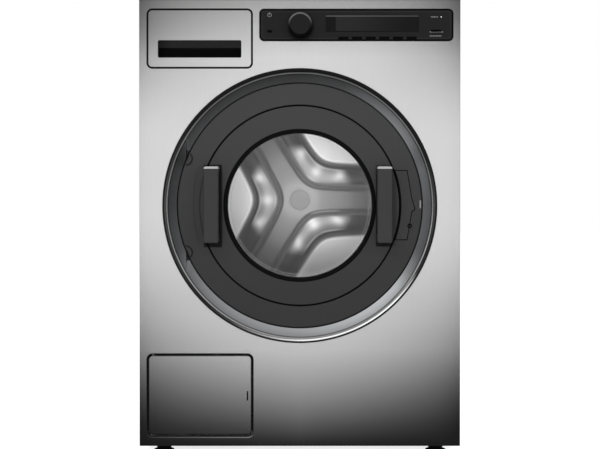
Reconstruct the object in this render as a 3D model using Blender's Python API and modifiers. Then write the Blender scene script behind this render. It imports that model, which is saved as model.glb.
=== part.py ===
"""Front-loading washing machine with a round porthole door, as separate pieces at real size.

Metres, +Z up, the front towards -Y. The origin is at the middle of the footprint, on the floor.
Depths are measured back from the front panel's face.
"""

import math

import bmesh
import bpy
from mathutils import Matrix, Vector

# Cabinet
WIDTH = 0.595
HEIGHT = 0.850
DEPTH = 0.585
BASE_Z = 0.020
TOP_PLATE_HEIGHT = 0.005
SHEET = 0.0015
PANEL_RETURN = 0.020
SIDE_FLANGE = 0.011
EDGE_RADIUS = 0.0025
GAP = 0.0003
OVERRUN = 0.004
WELD = 0.00003
SPIGOT_PROUD = 0.015
BAR_PROUD = 0.030
HALF_WIDTH = WIDTH / 2
BODY_TOP = HEIGHT - TOP_PLATE_HEIGHT
FRONT_Y = -(DEPTH + SPIGOT_PROUD - BAR_PROUD) / 2
FINE = 48
ROUND = 40
COARSE = 16

# Base tray and feet
TRAY_RISE = 0.025
FOOT_INSET = 0.042
FOOT_X = HALF_WIDTH - FOOT_INSET
FOOT_FRONT_DEPTH = 0.050
FOOT_REAR_INSET = 0.055
FOOT_REAR_DEPTH = DEPTH - FOOT_REAR_INSET
FOOT_PAD_R = 0.019
FOOT_PAD_HEIGHT = 0.008
FOOT_PAD_EDGE_SHARE = 0.8
FOOT_WAIST_R = 0.0135
FOOT_COLLAR_R = 0.0175
FOOT_COLLAR_HEIGHT = 0.005
FOOT_STEM_R = 0.005
FOOT_STEM_REACH = 0.028
BUSH_WALL = 0.005
TAB_INSET = 0.127
TAB_X = HALF_WIDTH - TAB_INSET
TAB_WIDTH = 0.030
TAB_LENGTH = 0.040
TAB_DROP = 0.002
TAB_DEPTH = 0.070

# Zones of the front: the drawer above, the flap below, and the porthole between them
FRONT_INSET = 0.0156
FRONT_SPLIT_SHARE = 0.0885 / 0.2975
DRAWER_DROP = 0.0210
DRAWER_HEIGHT = 0.1079
DRAWER_LEFT = FRONT_INSET - HALF_WIDTH
DRAWER_RIGHT = -HALF_WIDTH * FRONT_SPLIT_SHARE
DRAWER_HIGH = HEIGHT - DRAWER_DROP
DRAWER_LOW = DRAWER_HIGH - DRAWER_HEIGHT
FLAP_INDENT = 0.0002
FLAP_RISE = 0.0199
FLAP_HEIGHT = 0.1494
FLAP_LEFT = DRAWER_LEFT + FLAP_INDENT
FLAP_RIGHT = DRAWER_RIGHT + FLAP_INDENT
FLAP_LOW = BASE_Z + FLAP_RISE
FLAP_HIGH = FLAP_LOW + FLAP_HEIGHT

# Porthole: radii about the door centre, which is also the drum's axis. It fills its zone both ways
DOOR_RISE = 0.0106
DOOR_Z = (DRAWER_LOW + FLAP_HIGH) / 2 + DOOR_RISE
BAND_SIDE_MARGIN = 0.0429
BAND_END_MARGIN = 0.0113
BAND_R = min(HALF_WIDTH - BAND_SIDE_MARGIN, (DRAWER_LOW - FLAP_HIGH) / 2 - BAND_END_MARGIN)
BAND_WIDTH = 0.0069
BAND_INNER_R = BAND_R - BAND_WIDTH
BAND_PROUD = 0.0018
LIP_STEP = 0.0019
LIP_R = BAND_INNER_R - LIP_STEP
LIP_WIDTH = 0.0018
LIP_INNER_R = LIP_R - LIP_WIDTH
LIP_PROUD = 0.0034
LIP_SLOPE = 0.0013
CONE_TOP_R = LIP_INNER_R - LIP_SLOPE
CONE_WIDTH = 0.0133
WALL_R = CONE_TOP_R - CONE_WIDTH
CONE_DEPTH = 0.010
SURROUND_WALL = 0.003
BAND_COVER = 0.0046
PANEL_HOLE_R = BAND_R - BAND_COVER
PANEL_COLLAR_DEPTH = 0.006
FLOOR_DEPTH = 0.043
FLOOR_WIDTH = 0.0644
FLOOR_HOLE_R = WALL_R - FLOOR_WIDTH
RELIEF_REACH = 0.0031
RELIEF_R = WALL_R + RELIEF_REACH
RELIEF_END_MARGIN = 0.0994
RELIEF_REACH_Z = WALL_R - RELIEF_END_MARGIN
RELIEF_SIDE_MARGIN = 0.0494
RELIEF_FROM_X = RELIEF_SIDE_MARGIN - WALL_R
RELIEF_DEPTH = 0.004

# Door
DOOR_FACE = 0.012
DOOR_BACK = 0.028
DOOR_CLEARANCE = 0.0026
FRAME_R = WALL_R - DOOR_CLEARANCE
FRAME_ROUND = 0.005
FRAME_WIDTH = 0.0383
GROOVE_OUTER_R = FRAME_R - FRAME_WIDTH
GROOVE_WIDTH = 0.0052
RING_R = GROOVE_OUTER_R - GROOVE_WIDTH
RING_WIDTH = 0.0410
RING_INNER_R = RING_R - RING_WIDTH
RING_ROUND = 0.002
PLATE_DEPTH = 0.0243
GASKET_WIDTH = 0.0091
GASKET_INNER_R = RING_INNER_R - GASKET_WIDTH
GASKET_BACK = 0.0192
GASKET_FACE = 0.0125
GASKET_ROUND = 0.0018
BOWL_MARGIN = 0.0032
BOWL_R = GASKET_INNER_R - BOWL_MARGIN
BOWL_TAPER = 0.0235
BOWL_END_R = BOWL_R - BOWL_TAPER
BOWL_WALL = 0.005
BOWL_DEPTH = 0.110
BOWL_ROUND = 0.006
GLASS_RIM_FACE = GASKET_BACK + GAP
HINGE_INSET = 0.0208
HINGE_X = HINGE_INSET - FRAME_R
HINGE_DEPTH = 0.0145
KNUCKLE_DROP = 0.1383
KNUCKLE_Z = FRAME_R - KNUCKLE_DROP
KNUCKLE_HALF = 0.004
KNUCKLE_R = 0.004
HINGE_PIN_R = 0.002
HINGE_SLOT_CLEARANCE = 0.0005
STRAP_HALF = 0.006
STRAP_THICKNESS = 0.0025
SCOOP_REACH = 0.014
SCOOP_DROP = 0.0012

# Handles and latch, on the door
BAR_LEFT_MARGIN = 0.0207
BAR_LEFT_X = -RING_INNER_R - BAR_LEFT_MARGIN
BAR_RIGHT_MARGIN = 0.0140
BAR_RIGHT_X = RING_INNER_R + BAR_RIGHT_MARGIN
BAR_WIDTH = 0.0272
BAR_DROP = 0.0680
BAR_BOTTOM = DOOR_Z - BAR_DROP
BAR_RISE = 0.0729
BAR_TOP = DOOR_Z + BAR_RISE
BAR_THICKNESS = 0.016
BAR_LEG = 0.018
BAR_ROUND = 0.0025
LATCH_RISE = 0.0646
LATCH_TOP = DOOR_Z + LATCH_RISE
LATCH_DROP = 0.0629
LATCH_BOTTOM = DOOR_Z - LATCH_DROP
LATCH_WIDTH = 0.0191
LATCH_EDGE_X = GROOVE_OUTER_R + LATCH_WIDTH
LATCH_END_WIDTH = 0.0103
LATCH_CORNER_X = GROOVE_OUTER_R + LATCH_END_WIDTH
LATCH_SHOULDER_RISE = 0.0134
LATCH_SHOULDER_Z = DOOR_Z + LATCH_SHOULDER_RISE
LATCH_BUMP = 0.0058
LATCH_BUMP_X = LATCH_EDGE_X + LATCH_BUMP
LATCH_BUMP_DROP = 0.0070
LATCH_BUMP_Z = DOOR_Z - LATCH_BUMP_DROP
LATCH_LOW_DROP = 0.0107
LATCH_LOW_Z = DOOR_Z - LATCH_LOW_DROP
LATCH_THICKNESS = 0.0020
HOOK_INSET = 0.0244
HOOK_X = WALL_R - HOOK_INSET
HOOK_HALF = 0.004
HOOK_HEIGHT = 0.012
HOOK_END_DEPTH = 0.060
HOOK_BARB = 0.003
HOOK_CLEARANCE = 0.004
LOCK_HALF_X = 0.018
LOCK_HALF_Z = 0.032
LOCK_BACK = 0.066

# Seal, tub and drum
SEAL_LAP = 0.0095
SEAL_OUTER_R = FLOOR_HOLE_R + SEAL_LAP
SEAL_WALL = 0.012
SEAL_BACK = 0.0690
SEAL_LIP_THICKNESS = 0.003
SEAL_LIP_CLEARANCE = 0.0008
SEAL_LIP_FRONT = DOOR_BACK + SEAL_LIP_CLEARANCE
SEAL_LIP_MARGIN = 0.0068
SEAL_LIP_R = BOWL_R + SEAL_LIP_MARGIN
SEAL_LIP_LAND = 0.006
SEAL_FRONT_DEPTH = 0.0415
BOUNCE = 0.012
TUB_MARGIN = 0.0074
TUB_R = BAND_R + TUB_MARGIN
TUB_FLANGE = 0.006
TUB_FLANGE_R = TUB_R + TUB_FLANGE
TUB_WALL = 0.006
TUB_MOUTH_INSET = 0.017
TUB_MOUTH_R = FLOOR_HOLE_R - TUB_MOUTH_INSET
TUB_JOINT_DEPTH = 0.082
TUB_REAR_SPACE = 0.115
TUB_BACK = DEPTH - TUB_REAR_SPACE
TUB_HUB_R = 0.045
TUB_HUB_LENGTH = 0.050
TUB_HUB_BACK = TUB_BACK + TUB_HUB_LENGTH
WEIGHT_INSET = 0.007
WEIGHT_R = TUB_R - WEIGHT_INSET
WEIGHT_WIDTH = 0.065
WEIGHT_INNER_R = WEIGHT_R - WEIGHT_WIDTH
WEIGHT_FRONT = 0.050
WEIGHT_NOTCH_HALF = 0.050
WEIGHT_NOTCH_REACH = 0.105
WEIGHT_NOTCH_X = WEIGHT_R - WEIGHT_NOTCH_REACH
DRUM_MARGIN = 0.022
DRUM_R = TUB_R - DRUM_MARGIN
DRUM_WALL = 0.002
DRUM_FRONT = 0.100
DRUM_REAR_SPACE = 0.030
DRUM_BACK = TUB_BACK - DRUM_REAR_SPACE
DRUM_MOUTH_MARGIN = 0.012
DRUM_MOUTH_R = TUB_MOUTH_R + DRUM_MOUTH_MARGIN
DRUM_SHOULDER = 0.025
DRUM_HUB_R = 0.060
DRUM_HUB_LENGTH = 0.015
DRUM_HUB_BACK = DRUM_BACK + DRUM_HUB_LENGTH
LIFTER_HEIGHT = 0.048
LIFTER_TIP_HALF_DEG = 1.5
LIFTER_BASE_HALF_DEG = 8.0
LIFTER_FRONT = 0.130
LIFTER_REAR_SPACE = 0.020
LIFTER_BACK = DRUM_BACK - LIFTER_REAR_SPACE
LIFTER_COUNT = 3
SHAFT_R = 0.015
SHAFT_REAR_SPACE = 0.0275
SHAFT_END = DEPTH - SHAFT_REAR_SPACE
BEARING_R = 0.025
BEARING_STEP = 0.006
BEARING_DEPTH = TUB_BACK + BEARING_STEP

# Drive
PULLEY_R = 0.150
PULLEY_WIDTH = 0.014
PULLEY_REAR_SPACE = 0.033
PULLEY_BACK = DEPTH - PULLEY_REAR_SPACE
PULLEY_FRONT = PULLEY_BACK - PULLEY_WIDTH
PULLEY_RIM = 0.008
PULLEY_WEB = 0.004
PULLEY_HUB_R = 0.028
PULLEY_HOLE_R = 0.030
PULLEY_HOLE_AT_R = 0.088
PULLEY_HOLES = 5
MOTOR_INSET = 0.132
MOTOR_X = TUB_R - MOTOR_INSET
MOTOR_Z = 0.140
MOTOR_R = 0.058
MOTOR_REAR_SPACE = 0.085
MOTOR_BACK = DEPTH - MOTOR_REAR_SPACE
MOTOR_LENGTH = 0.165
MOTOR_FRONT = MOTOR_BACK - MOTOR_LENGTH
MOTOR_SHAFT_R = 0.006
MOTOR_PULLEY_R = 0.013
MOTOR_LUG_HALF = 0.010
MOTOR_LUG_SHARES = (0.2, 0.8)
BELT_THICKNESS = 0.003
BELT_MARGIN = 0.001

# Suspension
DAMPER_INSET = 0.097
DAMPER_X = TUB_R - DAMPER_INSET
DAMPER_DEPTH = 0.200
DAMPER_TUBE_R = 0.016
DAMPER_TUBE_TOP = 0.155
DAMPER_FOOT_HALF = 0.020
DAMPER_FOOT_HEIGHT = 0.004
DAMPER_ROD_R = 0.009
DAMPER_ROD_BOTTOM = 0.075
SPRING_INSET = 0.006
SPRING_X = TUB_R - SPRING_INSET
SPRING_DEPTH = 0.302
SPRING_TOP_DROP = 0.075
SPRING_TOP = HEIGHT - SPRING_TOP_DROP
SPRING_EAR_RISE = 0.1342
SPRING_BOTTOM = DOOR_Z + SPRING_EAR_RISE
SPRING_R = 0.009
SPRING_WIRE_R = 0.0016
SPRING_LEG = 0.020
SPRING_TURNS = 7
SPRING_POINTS = 8
EAR_HALF = 0.012
EAR_THICKNESS = 0.006

# Drawer
SEAM_HALF = 0.0013
SEAM_R = 0.009
RECESS_LEFT_MARGIN = 0.0195
RECESS_LEFT = DRAWER_LEFT + RECESS_LEFT_MARGIN
RECESS_RIGHT_MARGIN = 0.0199
RECESS_RIGHT = DRAWER_RIGHT - RECESS_RIGHT_MARGIN
RECESS_RISE = 0.0190
RECESS_LOW = DRAWER_LOW + RECESS_RISE
RECESS_HEIGHT = 0.0317
RECESS_HIGH = RECESS_LOW + RECESS_HEIGHT
RECESS_R = 0.002
GRIP_DEPTH = 0.022
GRIP_WALL = 0.002
GRIP_LIP = 0.012
TRAY_TOP_DROP = 0.0170
TRAY_TOP = DRAWER_HIGH - TRAY_TOP_DROP
TRAY_WALL = 0.0020
TRAY_BACK = 0.262
HOUSING_RISE = 0.0134
HOUSING_LOW = DRAWER_LOW + HOUSING_RISE
HOUSING_WALL = 0.002
HOUSING_BACK = 0.275
HOUSING_MARGIN = 0.0035
TRAY_CLEARANCE = 0.0010
TRAY_WELLS = 3

# Controls
FASCIA_SPACE = 0.0139
FASCIA_LEFT = DRAWER_RIGHT + FASCIA_SPACE
FASCIA_SIDE_MARGIN = 0.0136
FASCIA_RIGHT = HALF_WIDTH - FASCIA_SIDE_MARGIN
FASCIA_DROP = 0.0201
FASCIA_HEIGHT = 0.0594
FASCIA_HIGH = HEIGHT - FASCIA_DROP
FASCIA_LOW = FASCIA_HIGH - FASCIA_HEIGHT
FASCIA_R = 0.0085
FASCIA_PROUD = 0.0010
FASCIA_BACK = 0.012
FASCIA_FIT = 0.0005
KNOB_FROM_END = 0.0752
KNOB_X = FASCIA_LEFT + KNOB_FROM_END
KNOB_DROP = 0.0295
KNOB_Z = FASCIA_HIGH - KNOB_DROP
KNOB_R = 0.0225
KNOB_FACE_R = 0.0184
KNOB_PROUD = 0.018
KNOB_SHAFT_R = 0.003
KNOB_SHAFT_END = 0.020
DISPLAY_FROM_KNOB = 0.0475
DISPLAY_LEFT = KNOB_X + DISPLAY_FROM_KNOB
DISPLAY_END_MARGIN = 0.0640
DISPLAY_RIGHT = FASCIA_RIGHT - DISPLAY_END_MARGIN
DISPLAY_RISE = 0.0171
DISPLAY_LOW = FASCIA_LOW + DISPLAY_RISE
DISPLAY_HEIGHT = 0.0302
DISPLAY_HIGH = DISPLAY_LOW + DISPLAY_HEIGHT
DISPLAY_R = 0.0015
DISPLAY_THICKNESS = 0.004
BUTTON_ROW_START = 0.0326
BUTTON_ROW_END = 0.0130
BUTTON_FIRST_X = DISPLAY_LEFT + BUTTON_ROW_START
BUTTON_COUNT = 6
BUTTON_PITCH = (DISPLAY_RIGHT - BUTTON_ROW_END - BUTTON_FIRST_X) / (BUTTON_COUNT - 1)
BUTTON_RISE = 0.0048
BUTTON_Z = FASCIA_LOW + BUTTON_RISE
BUTTON_SPACE = 0.00674
BUTTON_WIDTH = BUTTON_PITCH - BUTTON_SPACE
BUTTON_HEIGHT = 0.0060
BUTTON_PROUD = 0.0006
BUTTON_ROUND = 0.0010
POWER_FROM_END = 0.0189
POWER_X = FASCIA_LEFT + POWER_FROM_END
POWER_RISE = 0.0180
POWER_Z = FASCIA_LOW + POWER_RISE
POWER_WIDTH = 0.0086
POWER_HEIGHT = 0.0042
START_FROM_END = 0.0316
START_X = FASCIA_RIGHT - START_FROM_END
START_RISE = 0.0188
START_Z = FASCIA_LOW + START_RISE
START_WIDTH = 0.0184
START_HEIGHT = 0.0042

# Service flap, filter and pump
FLAP_HINGE_INSET = 0.0095
FLAP_HINGE_DEPTH = 0.0055
FLAP_PIN_R = 0.0018
FLAP_PIN_REACH = 0.008
FLAP_LUG_HALF = 0.004
FLAP_SLOT_INSET = 0.0087
FLAP_SLOT_X = FLAP_RIGHT - FLAP_SLOT_INSET
FLAP_SLOT_DROP = 0.0015
FLAP_SLOT_Z = (FLAP_LOW + FLAP_HIGH) / 2 - FLAP_SLOT_DROP
FLAP_SLOT_WIDTH = 0.0027
FLAP_SLOT_HEIGHT = 0.0176
FILTER_X = (FLAP_LEFT + FLAP_RIGHT) / 2
FILTER_DROP = 0.0096
FILTER_Z = (FLAP_LOW + FLAP_HIGH) / 2 - FILTER_DROP
FILTER_R = 0.032
FILTER_FACE = 0.028
FILTER_RIM = 0.010
FILTER_PLUG_R = 0.024
FILTER_PLUG_END = 0.075
FILTER_GRIP_HALF = 0.004
FILTER_GRIP_RISE = 0.010
FILTER_GRIP_SHARE = 0.8
PUMP_R = 0.036
PUMP_END = 0.110
PUMP_MOTOR_R = 0.026
PUMP_MOTOR_END = 0.170
PUMP_WALL = 0.004
PUMP_FOOT_HALF = 0.018

# Rear fittings
INLET_INSET = 0.1075
INLET_X = HALF_WIDTH - INLET_INSET
REAR_FITTING_DROP = 0.080
REAR_FITTING_Z = HEIGHT - REAR_FITTING_DROP
INLET_PITCH = 0.060
INLET_R = 0.0125
INLET_BORE_R = 0.0085
INLET_HALF_X = 0.055
INLET_HALF_Z = 0.022
INLET_BODY_LENGTH = 0.040
DRAIN_INSET = 0.1075
DRAIN_X = DRAIN_INSET - HALF_WIDTH
DRAIN_R = 0.0120
DRAIN_BORE_R = 0.0090
GLAND_X = -0.060
GLAND_R = 0.014
GLAND_BORE_R = 0.006
GLAND_PROUD = 0.008

parts = bpy.data.collections.new("washing_machine")
cutters = bpy.data.collections.new("cutters")


def clear_scene():
    for obj in list(bpy.data.objects):
        bpy.data.objects.remove(obj)
    bpy.context.scene.collection.children.link(parts)
    bpy.context.scene.collection.children.link(cutters)
    cutters.hide_render = True


def make_material(name, colour, roughness, metallic=0.0, alpha=1.0):
    made = bpy.data.materials.new(name)
    made.use_nodes = True
    shader = made.node_tree.nodes["Principled BSDF"]
    shader.inputs["Base Color"].default_value = (*colour, 1.0)
    shader.inputs["Roughness"].default_value = roughness
    shader.inputs["Metallic"].default_value = metallic
    shader.inputs["Alpha"].default_value = alpha
    return made


def y_at(depth):
    """World Y at a depth behind the front panel's face."""
    return FRONT_Y + depth


def finish(obj, material, smooth_over=30.0):
    """Gives a part its material and smooth round sides."""
    obj.data.materials.clear()
    obj.data.materials.append(material)
    obj.data.shade_smooth()
    obj.data.set_sharp_from_angle(angle=math.radians(smooth_over))
    return obj


def as_cutter(obj):
    obj.hide_render = True
    obj.display_type = "WIRE"
    if obj.name in parts.objects:
        parts.objects.unlink(obj)
    cutters.objects.link(obj)
    return obj


def mesh_object(name, bm):
    mesh = bpy.data.meshes.new(name)
    bm.to_mesh(mesh)
    bm.free()
    obj = bpy.data.objects.new(name, mesh)
    parts.objects.link(obj)
    return obj


def box_mesh(low, high):
    bm = bmesh.new()
    bmesh.ops.create_cube(bm, size=1.0)
    low, high = Vector(low), Vector(high)
    size = high - low
    bmesh.ops.scale(bm, vec=size, verts=bm.verts)
    bmesh.ops.translate(bm, vec=(low + high) / 2, verts=bm.verts)
    return bm


def bevel(obj, width, segments=2, angle=30.0):
    modifier = obj.modifiers.new("Bevel", "BEVEL")
    modifier.width = width
    modifier.segments = segments
    modifier.limit_method = "ANGLE"
    modifier.angle_limit = math.radians(angle)
    return obj


def box(name, low, high, rounding=0.0, segments=2):
    obj = mesh_object(name, box_mesh(low, high))
    return bevel(obj, rounding, segments) if rounding else obj


def sheet_box(name, low, high, open_sides, wall, rounded=None):
    """A folded sheet: a box that lacks the named sides, thickened inwards."""
    bm = box_mesh(low, high)
    bm.normal_update()
    gone = [f for f in bm.faces if any(f.normal.dot(Vector(side)) > 0.9 for side in open_sides)]
    bmesh.ops.delete(bm, geom=gone, context="FACES")
    if rounded:
        axis, width = rounded
        along = Vector(axis)
        edges = [e for e in bm.edges if len(e.link_faces) == 2]
        edges = [e for e in edges if abs((e.verts[1].co - e.verts[0].co).normalized().dot(along)) > 0.9]
        bmesh.ops.bevel(bm, geom=edges, offset=width, segments=3, profile=0.5, affect="EDGES")
    obj = mesh_object(name, bm)
    solid = obj.modifiers.new("Solidify", "SOLIDIFY")
    solid.thickness = wall
    solid.offset = -1.0
    solid.use_even_offset = True
    return obj


def rod(name, radius, start, end, sides=COARSE):
    """A cylinder between two points."""
    start, end = Vector(start), Vector(end)
    bm = bmesh.new()
    bmesh.ops.create_cone(
        bm, cap_ends=True, segments=sides, radius1=radius, radius2=radius, depth=(end - start).length
    )
    turn = Vector((0.0, 0.0, 1.0)).rotation_difference(end - start)
    place = Matrix.Translation((start + end) / 2) @ turn.to_matrix().to_4x4()
    bmesh.ops.transform(bm, matrix=place, verts=bm.verts)
    return mesh_object(name, bm)


def screw_object(name, profile, closed, steps):
    """Turns a profile of (radius, height) about local Z, its outer side running down."""
    bm = bmesh.new()
    ring = [bm.verts.new((radius, 0.0, height)) for radius, height in profile]
    for first, second in zip(ring, ring[1:]):
        bm.edges.new((first, second))
    if closed:
        bm.edges.new((ring[-1], ring[0]))
    obj = mesh_object(name, bm)
    screw = obj.modifiers.new("Screw", "SCREW")
    screw.steps = steps
    screw.render_steps = steps
    screw.use_merge_vertices = True
    screw.merge_threshold = WELD
    screw.use_smooth_shade = True
    return obj


def turned(name, profile, centre, closed=True, steps=FINE):
    """A shape turned about a line along Y through centre (x, z), from points (radius, depth)."""
    obj = screw_object(name, [(radius, -depth) for radius, depth in profile], closed, steps)
    obj.location = (centre[0], FRONT_Y, centre[1])
    obj.rotation_euler = (math.pi / 2, 0.0, 0.0)
    return obj


def upright(name, profile, place, closed=False, steps=COARSE):
    """A shape turned about a vertical line, from points (radius, height)."""
    obj = screw_object(name, profile, closed, steps)
    obj.location = (*place, 0.0)
    return obj


def arc(centre, radius, start, end, segments):
    """Points along an arc, with its angles in degrees."""
    angles = [math.radians(start + (end - start) * i / segments) for i in range(segments + 1)]
    return [(centre[0] + radius * math.cos(a), centre[1] + radius * math.sin(a)) for a in angles]


def rounded_rectangle(left, right, low, high, radius, segments=5):
    corners = (
        ((right - radius, high - radius), 0.0),
        ((left + radius, high - radius), 90.0),
        ((left + radius, low + radius), 180.0),
        ((right - radius, low + radius), 270.0),
    )
    points = []
    for centre, start in corners:
        points += arc(centre, radius, start, start + 90.0, segments)
    return points


def outline_object(name, outlines, thickness):
    """A flat outline, with any further outlines as holes, as a mesh in its own XY plane."""
    curve = bpy.data.curves.new(name, "CURVE")
    curve.dimensions = "2D"
    curve.fill_mode = "BOTH"
    curve.extrude = thickness / 2
    for outline in outlines:
        spline = curve.splines.new("POLY")
        spline.points.add(len(outline) - 1)
        for point, (u, v) in zip(spline.points, outline):
            point.co = (u, v, 0.0, 1.0)
        spline.use_cyclic_u = True
    source = bpy.data.objects.new(name, curve)
    parts.objects.link(source)
    return meshed(source)


def meshed(source):
    """The mesh of a curve object, with its caps welded on, in place of the curve."""
    bpy.context.view_layer.update()
    graph = bpy.context.evaluated_depsgraph_get()
    mesh = bpy.data.meshes.new_from_object(source.evaluated_get(graph))
    bm = bmesh.new()
    bm.from_mesh(mesh)
    bmesh.ops.remove_doubles(bm, verts=bm.verts, dist=WELD)
    bm.to_mesh(mesh)
    bm.free()
    name = source.name
    obj = bpy.data.objects.new(name + "_mesh", mesh)
    obj.matrix_world = source.matrix_world
    bpy.data.objects.remove(source)
    obj.name = name
    parts.objects.link(obj)
    return obj


def front_plate(name, outlines, front, thickness):
    """An outline of (x, z) points, extruded back from a depth."""
    obj = outline_object(name, outlines, thickness)
    obj.location = (0.0, y_at(front + thickness / 2), 0.0)
    obj.rotation_euler = (math.pi / 2, 0.0, 0.0)
    return obj


def side_plate(name, outlines, x_middle, width):
    """An outline of (depth, z) points, extruded across the width."""
    obj = outline_object(name, outlines, width)
    obj.location = (x_middle, FRONT_Y, 0.0)
    obj.rotation_euler = (math.pi / 2, 0.0, math.pi / 2)
    return obj


def boolean(obj, other, operation):
    modifier = obj.modifiers.new(other.name, "BOOLEAN")
    modifier.operation = operation
    modifier.solver = "EXACT"
    modifier.object = other
    as_cutter(other)


def cut(obj, *others):
    for other in others:
        boolean(obj, other, "DIFFERENCE")
    return obj


def join(obj, *others):
    for other in others:
        boolean(obj, other, "UNION")
    return obj


def shrink(edges, by):
    """A rectangle's (left, right, low, high), drawn in on every side."""
    left, right, low, high = edges
    return (left + by, right - by, low + by, high - by)


def panel_cutter(name, edges, radius):
    """A rounded opening that goes right through the front sheet."""
    outline = rounded_rectangle(*edges, radius)
    return front_plate(name, [outline], -OVERRUN, SHEET + 2 * OVERRUN)


def make_front_panel(steel):
    low = (-HALF_WIDTH, y_at(0.0), BASE_Z)
    high = (HALF_WIDTH, y_at(PANEL_RETURN), BODY_TOP)
    panel = sheet_box("front_panel", low, high, [(0, 1, 0)], SHEET, ((0, 0, 1), EDGE_RADIUS))
    for sign in (-1, 1):
        inner_end = FLAP_EDGES[2] - GAP if sign < 0 else FLAP_EDGES[3] + GAP
        ends = sorted((inner_end + sign * GAP, inner_end + sign * FLAP_PIN_REACH))
        lug = box(
            f"flap_lug_{ends[0]:.3f}",
            (FLAP_AXIS_X - FLAP_LUG_HALF, y_at(SHEET / 2), ends[0]),
            (FLAP_AXIS_X + FLAP_LUG_HALF, y_at(FLAP_HINGE_DEPTH + FLAP_LUG_HALF), ends[1]),
        )
        hole = rod(
            f"flap_lug_hole_{ends[0]:.3f}",
            FLAP_PIN_R + GAP,
            (FLAP_AXIS_X, y_at(FLAP_HINGE_DEPTH), ends[0] - OVERRUN),
            (FLAP_AXIS_X, y_at(FLAP_HINGE_DEPTH), ends[1] + OVERRUN),
            sides=12,
        )
        join(panel, lug)
        cut(panel, hole)
    porthole = [(PANEL_HOLE_R, -OVERRUN), (PANEL_HOLE_R, SHEET + OVERRUN)]
    porthole = [(0.0, -OVERRUN), *porthole, (0.0, SHEET + OVERRUN)]
    cut(panel, turned("porthole_cutter", porthole, (0.0, DOOR_Z), closed=False))
    cut(panel, panel_cutter("drawer_cutter", shrink(DRAWER_SEAM, -SEAM_HALF), SEAM_R + SEAM_HALF))
    cut(panel, panel_cutter("flap_cutter", FLAP_EDGES, SEAM_R + SEAM_HALF))
    fascia_hole = shrink(FASCIA_EDGES, -FASCIA_FIT)
    cut(panel, panel_cutter("fascia_cutter", fascia_hole, FASCIA_R + FASCIA_FIT))
    return finish(panel, steel)


def make_side_panel(name, sign, steel):
    outer = sign * HALF_WIDTH
    inner = sign * (HALF_WIDTH - SIDE_FLANGE)
    low = (min(outer, inner), y_at(PANEL_RETURN + GAP), BASE_Z)
    high = (max(outer, inner), y_at(DEPTH - SHEET - GAP), BODY_TOP)
    open_sides = [(-sign, 0, 0), (0, 0, 1), (0, 0, -1)]
    panel = sheet_box(name, low, high, open_sides, SHEET)
    wall = sign * (HALF_WIDTH - SHEET / 2)
    reach = sign * (SPRING_X - EAR_HALF)
    bracket = box(
        f"bracket_{name}",
        (min(wall, reach), y_at(SPRING_DEPTH - EAR_HALF), SPRING_TOP),
        (max(wall, reach), y_at(SPRING_DEPTH + EAR_HALF), SPRING_TOP + EAR_THICKNESS),
    )
    return finish(join(panel, bracket), steel)


def make_rear_panel(zinc):
    low = (-HALF_WIDTH, y_at(DEPTH - SHEET), BASE_Z)
    high = (HALF_WIDTH, y_at(DEPTH), BODY_TOP)
    panel = box("rear_panel", low, high)
    drain = [(DRAIN_R, DEPTH - SHEET / 2), (DRAIN_R, DEPTH + SPIGOT_PROUD)]
    drain = [(0.0, DEPTH - SHEET / 2), *drain, (0.0, DEPTH + SPIGOT_PROUD)]
    join(panel, turned("drain_spigot", drain, (DRAIN_X, REAR_FITTING_Z), closed=False, steps=COARSE))
    gland = [(GLAND_R, DEPTH - SHEET / 2), (GLAND_R, DEPTH + GLAND_PROUD)]
    gland = [(0.0, DEPTH - SHEET / 2), *gland, (0.0, DEPTH + GLAND_PROUD)]
    join(panel, turned("cable_gland", gland, (GLAND_X, REAR_FITTING_Z), closed=False, steps=COARSE))
    holes = [(DRAIN_X, REAR_FITTING_Z, DRAIN_BORE_R), (GLAND_X, REAR_FITTING_Z, GLAND_BORE_R)]
    holes += [(x, REAR_FITTING_Z, INLET_R + GAP) for x in INLET_XS]
    for x, z, radius in holes:
        start = (x, y_at(DEPTH - SHEET - OVERRUN), z)
        end = (x, y_at(DEPTH + SPIGOT_PROUD + OVERRUN), z)
        cut(panel, rod(f"rear_hole_{x:.3f}", radius, start, end))
    return finish(panel, zinc)


def make_top_plate(steel):
    low = (-HALF_WIDTH, y_at(0.0), BODY_TOP + GAP)
    high = (HALF_WIDTH, y_at(DEPTH), HEIGHT)
    return finish(sheet_box("top_plate", low, high, [(0, 0, -1)], SHEET), steel)


def make_base_tray(zinc):
    side = HALF_WIDTH - SHEET - GAP
    low = (-side, y_at(PANEL_RETURN + SHEET + 2 * GAP), BASE_Z)
    high = (side, y_at(DEPTH - 2 * SHEET - 2 * GAP), BASE_Z + TRAY_RISE)
    tray = sheet_box("base_tray", low, high, [(0, 0, 1)], SHEET)
    for sign in (-1, 1):
        tab = box(
            f"tab_{sign}",
            (sign * TAB_X - TAB_WIDTH / 2, y_at(TAB_DEPTH), BASE_Z - TAB_DROP),
            (sign * TAB_X + TAB_WIDTH / 2, y_at(TAB_DEPTH + TAB_LENGTH), BASE_Z + SHEET / 2),
        )
        join(tray, tab)
    for name, x, depth in FEET:
        bush_top = BASE_Z + FOOT_STEM_REACH + GAP
        middle = (x, y_at(depth))
        bush_ends = [(*middle, z) for z in (BASE_Z + SHEET / 2, bush_top)]
        bush = rod(f"bush_{name}", FOOT_STEM_R + BUSH_WALL, *bush_ends)
        hole_ends = [(*middle, z) for z in (BASE_Z - OVERRUN, bush_top + OVERRUN)]
        hole = rod(f"bush_hole_{name}", FOOT_STEM_R + GAP, *hole_ends)
        join(tray, bush)
        cut(tray, hole)
    return finish(tray, zinc)


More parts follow.
